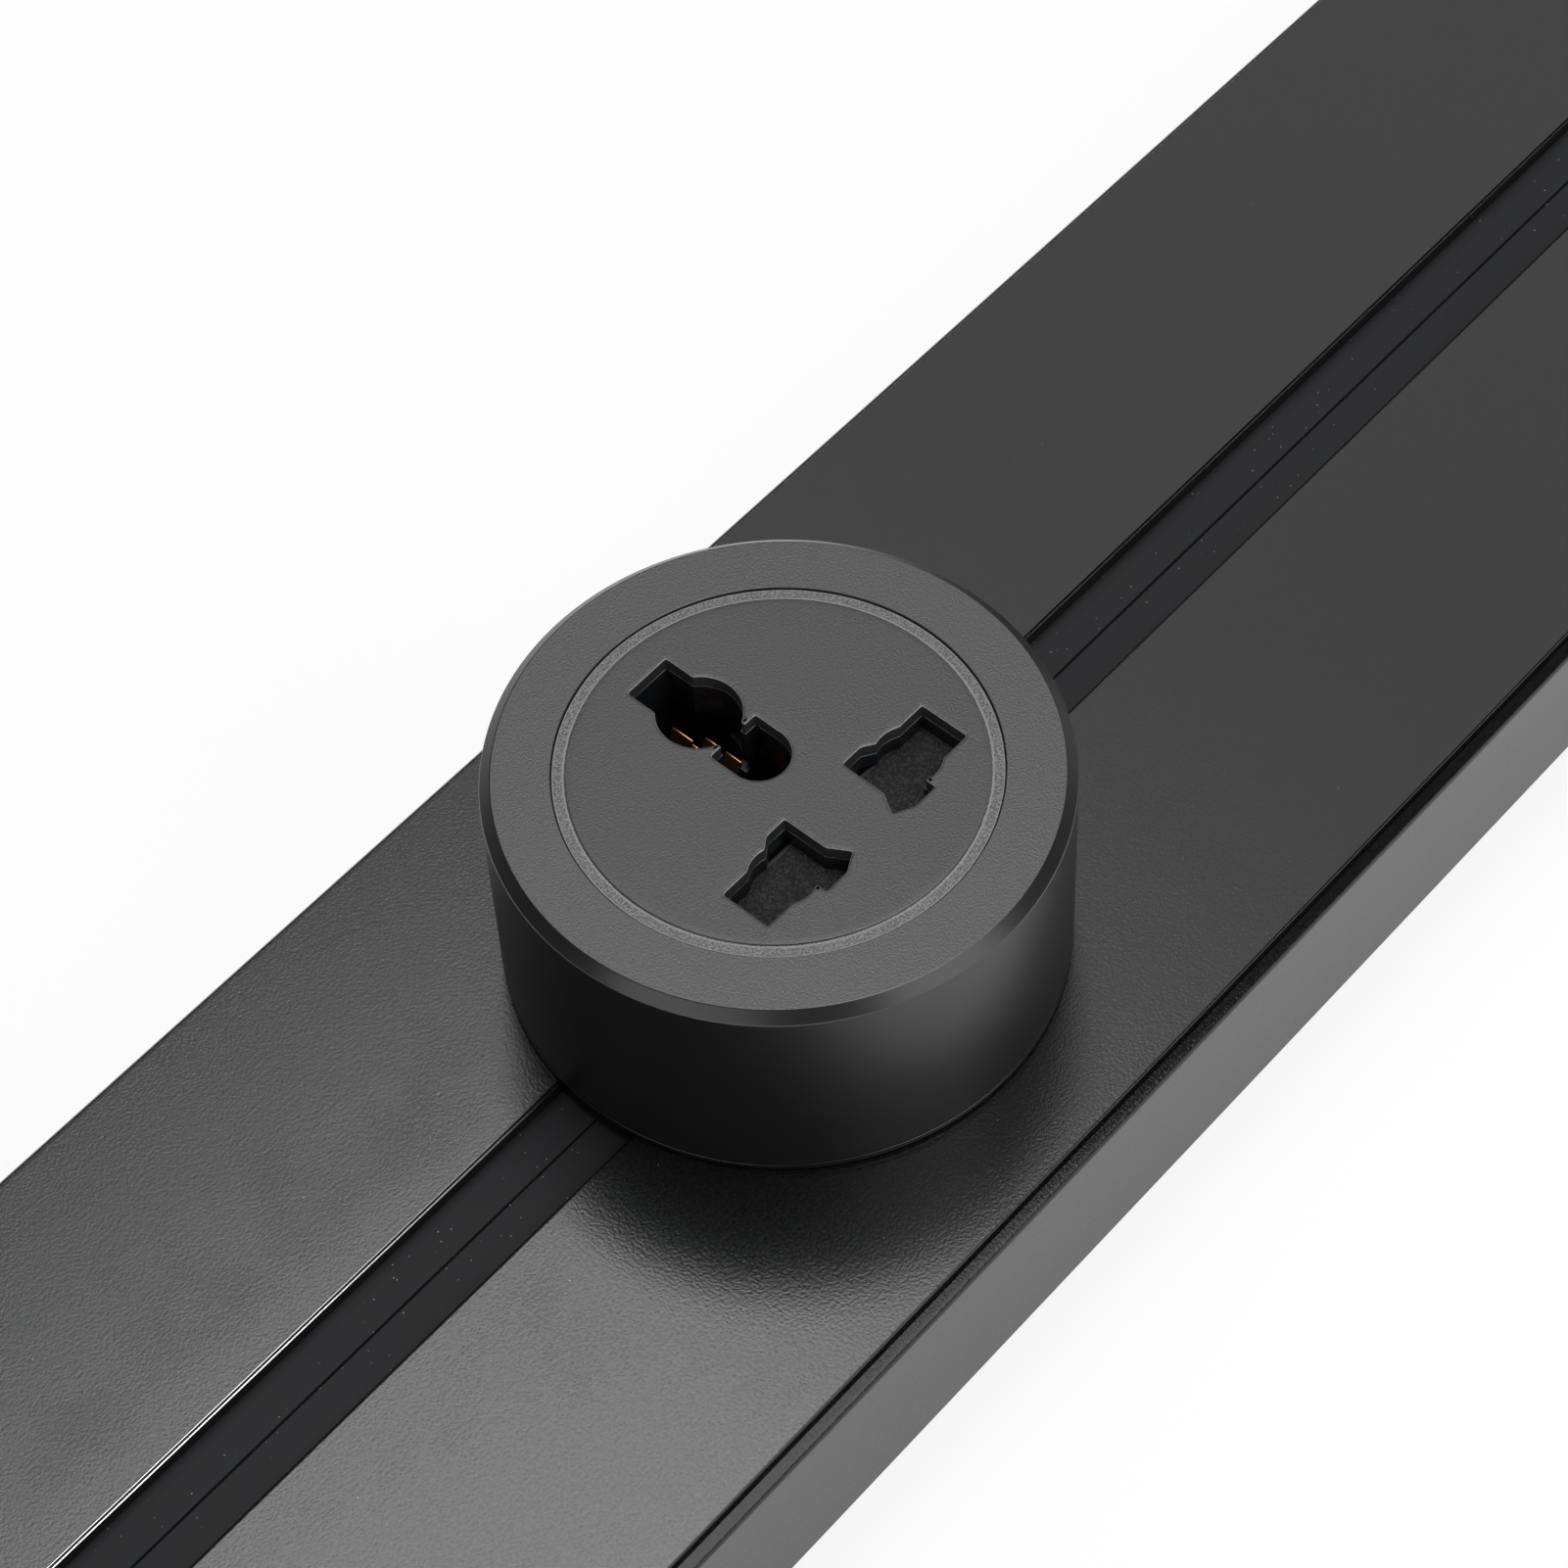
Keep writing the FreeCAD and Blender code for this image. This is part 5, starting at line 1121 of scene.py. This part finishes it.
class SOCKET_OT_stage(bpy.types.Operator):
    """Set up the pale floor, the soft light and the camera"""

    bl_idname = "socket.stage"
    bl_label = "Stage"

    def execute(self, context):
        stage = context.scene.socket_stage
        self.floor(stage)
        self.light(stage)
        self.room(stage)
        self.camera(stage)
        context.scene.view_settings.view_transform = "Standard"
        return {"FINISHED"}

    def floor(self, stage):
        """A flat floor that reaches past the picture on every side."""
        work = bmesh.new()
        steps = stage.floor_steps
        bmesh.ops.create_grid(work, x_segments=steps, y_segments=steps, size=FLOOR_HALF)
        piece = placed("floor", mesh_of("floor", work))
        piece.location.z = -FLOOR_DROP
        piece.data.materials.append(self.floor_finish())

    def floor_finish(self):
        """Pale grey that the camera sees as white with part of its shadow."""
        finish = Finish("pale_floor")
        cloud = finish.noise(0.6, 1.0)
        tone = finish.blend(cloud, (0.74, 0.74, 0.74), (0.76, 0.76, 0.76))
        finish.set(Base_Color=tone, Roughness=0.9)
        glow = finish.node("ShaderNodeEmission", {}, {"Color": WHITE, "Strength": 1.0})
        seen = finish.node("ShaderNodeLightPath", {}, {}, "Is Camera Ray")
        glossy = finish.node("ShaderNodeLightPath", {}, {}, "Is Glossy Ray")
        through = finish.node("ShaderNodeLightPath", {}, {}, "Is Transmission Ray")
        share = (seen * 0.8 + glossy * 0.4 + through * 0.4).above(0.0, 1.0)
        finish.show(Wire(finish, finish.shader.outputs[0]), glow, share)
        return finish.material

    def soft_box(self, stage, name, azimuth, elevation, size, brightness, bearing=None):
        """A rectangular soft light that faces the object from a direction in degrees.

        Its width lies level along the bearing, or square to the azimuth where none is given.
        """
        lamp = bpy.data.lights.new(name, "AREA")
        lamp.shape = "RECTANGLE"
        lamp.size, lamp.size_y = size
        lamp.energy = brightness * math.pi * size[0] * size[1]
        turn, rise = math.radians(azimuth), math.radians(elevation)
        flat = math.cos(rise)
        along = Vector((math.cos(turn) * flat, math.sin(turn) * flat, math.sin(rise)))
        piece = placed(name, lamp)
        piece.location = along * stage.distance
        level = math.radians(azimuth + 90.0 if bearing is None else bearing)
        across = Vector((math.cos(level), math.sin(level), 0.0))
        across = (across - along * across.dot(along)).normalized()
        piece.rotation_euler = Matrix((across, along.cross(across), along)).transposed().to_euler()

    def light(self, stage):
        """The box overhead, the dim screen behind the object, and a box at each side."""
        self.soft_box(stage, "overhead", -18.0, 83.8, (1.09, 0.48), stage.overhead, 81.0)
        self.soft_box(stage, "ceiling", 23.0, 62.0, (1.4, 1.2), stage.ceiling)
        self.soft_box(stage, "left_box", -170.0, 25.0, (0.8, 0.5), stage.side_light)
        self.soft_box(stage, "right_box", -84.0, 33.0, (0.65, 0.9), stage.side_light * 1.35)

    def room(self, stage):
        """Even room light, white where the camera sees it."""
        world = bpy.data.worlds.new("room")
        bpy.context.scene.world = world
        wiring = Wiring(world)
        back = wiring.tree.nodes["Background"]
        wiring.feed(back.inputs["Color"], WHITE)
        wiring.feed(back.inputs["Strength"], stage.fill)
        white = wiring.node("ShaderNodeBackground", {}, {"Color": WHITE, "Strength": 1.0})
        seen = wiring.node("ShaderNodeLightPath", {}, {}, "Is Camera Ray")
        wiring.show(Wire(wiring, back.outputs[0]), white, seen)

    def camera(self, stage):
        """The camera at the photograph's viewpoint."""
        data = bpy.data.cameras.new("camera")
        data.lens = stage.lens
        data.sensor_width = 36.0
        data.clip_start = 0.02
        forward = Vector(CAMERA_FORWARD).normalized()
        right = Vector(CAMERA_RIGHT).normalized()
        up = right.cross(forward).normalized()
        turn = Matrix((right, up, -forward)).transposed().to_4x4()
        piece = placed("camera", data)
        piece.matrix_world = Matrix.Translation(CAMERA_PLACE) @ turn
        bpy.context.scene.camera = piece


class SOCKET_PT_panel(bpy.types.Panel):
    """Shows the settings and the operator buttons in the sidebar"""

    bl_idname = "SOCKET_PT_panel"
    bl_label = "Power track socket"
    bl_space_type = "VIEW_3D"
    bl_region_type = "UI"
    bl_category = "Socket"

    def draw(self, context):
        for settings in (context.scene.socket_look, context.scene.socket_stage):
            box = self.layout.box()
            for name in settings.__annotations__:
                box.prop(settings, name)
        for operator in OPERATORS:
            self.layout.operator(operator.bl_idname)


OPERATORS = (
    SOCKET_OT_stage, SOCKET_OT_track, SOCKET_OT_ends, SOCKET_OT_screws, SOCKET_OT_foot,
    SOCKET_OT_shell, SOCKET_OT_face, SOCKET_OT_contacts,
)
CLASSES = (SocketLook, SocketStage, *OPERATORS, SOCKET_PT_panel)


def register():
    for item in CLASSES:
        bpy.utils.register_class(item)
    bpy.types.Scene.socket_look = PointerProperty(type=SocketLook)
    bpy.types.Scene.socket_stage = PointerProperty(type=SocketStage)


def unregister():
    del bpy.types.Scene.socket_stage
    del bpy.types.Scene.socket_look
    for item in reversed(CLASSES):
        bpy.utils.unregister_class(item)


def main():
    """Register, and make every piece in order."""
    register()
    for operator in OPERATORS:
        group, name = operator.bl_idname.split(".")
        getattr(getattr(bpy.ops, group), name)()


if __name__ == "__main__":
    main()
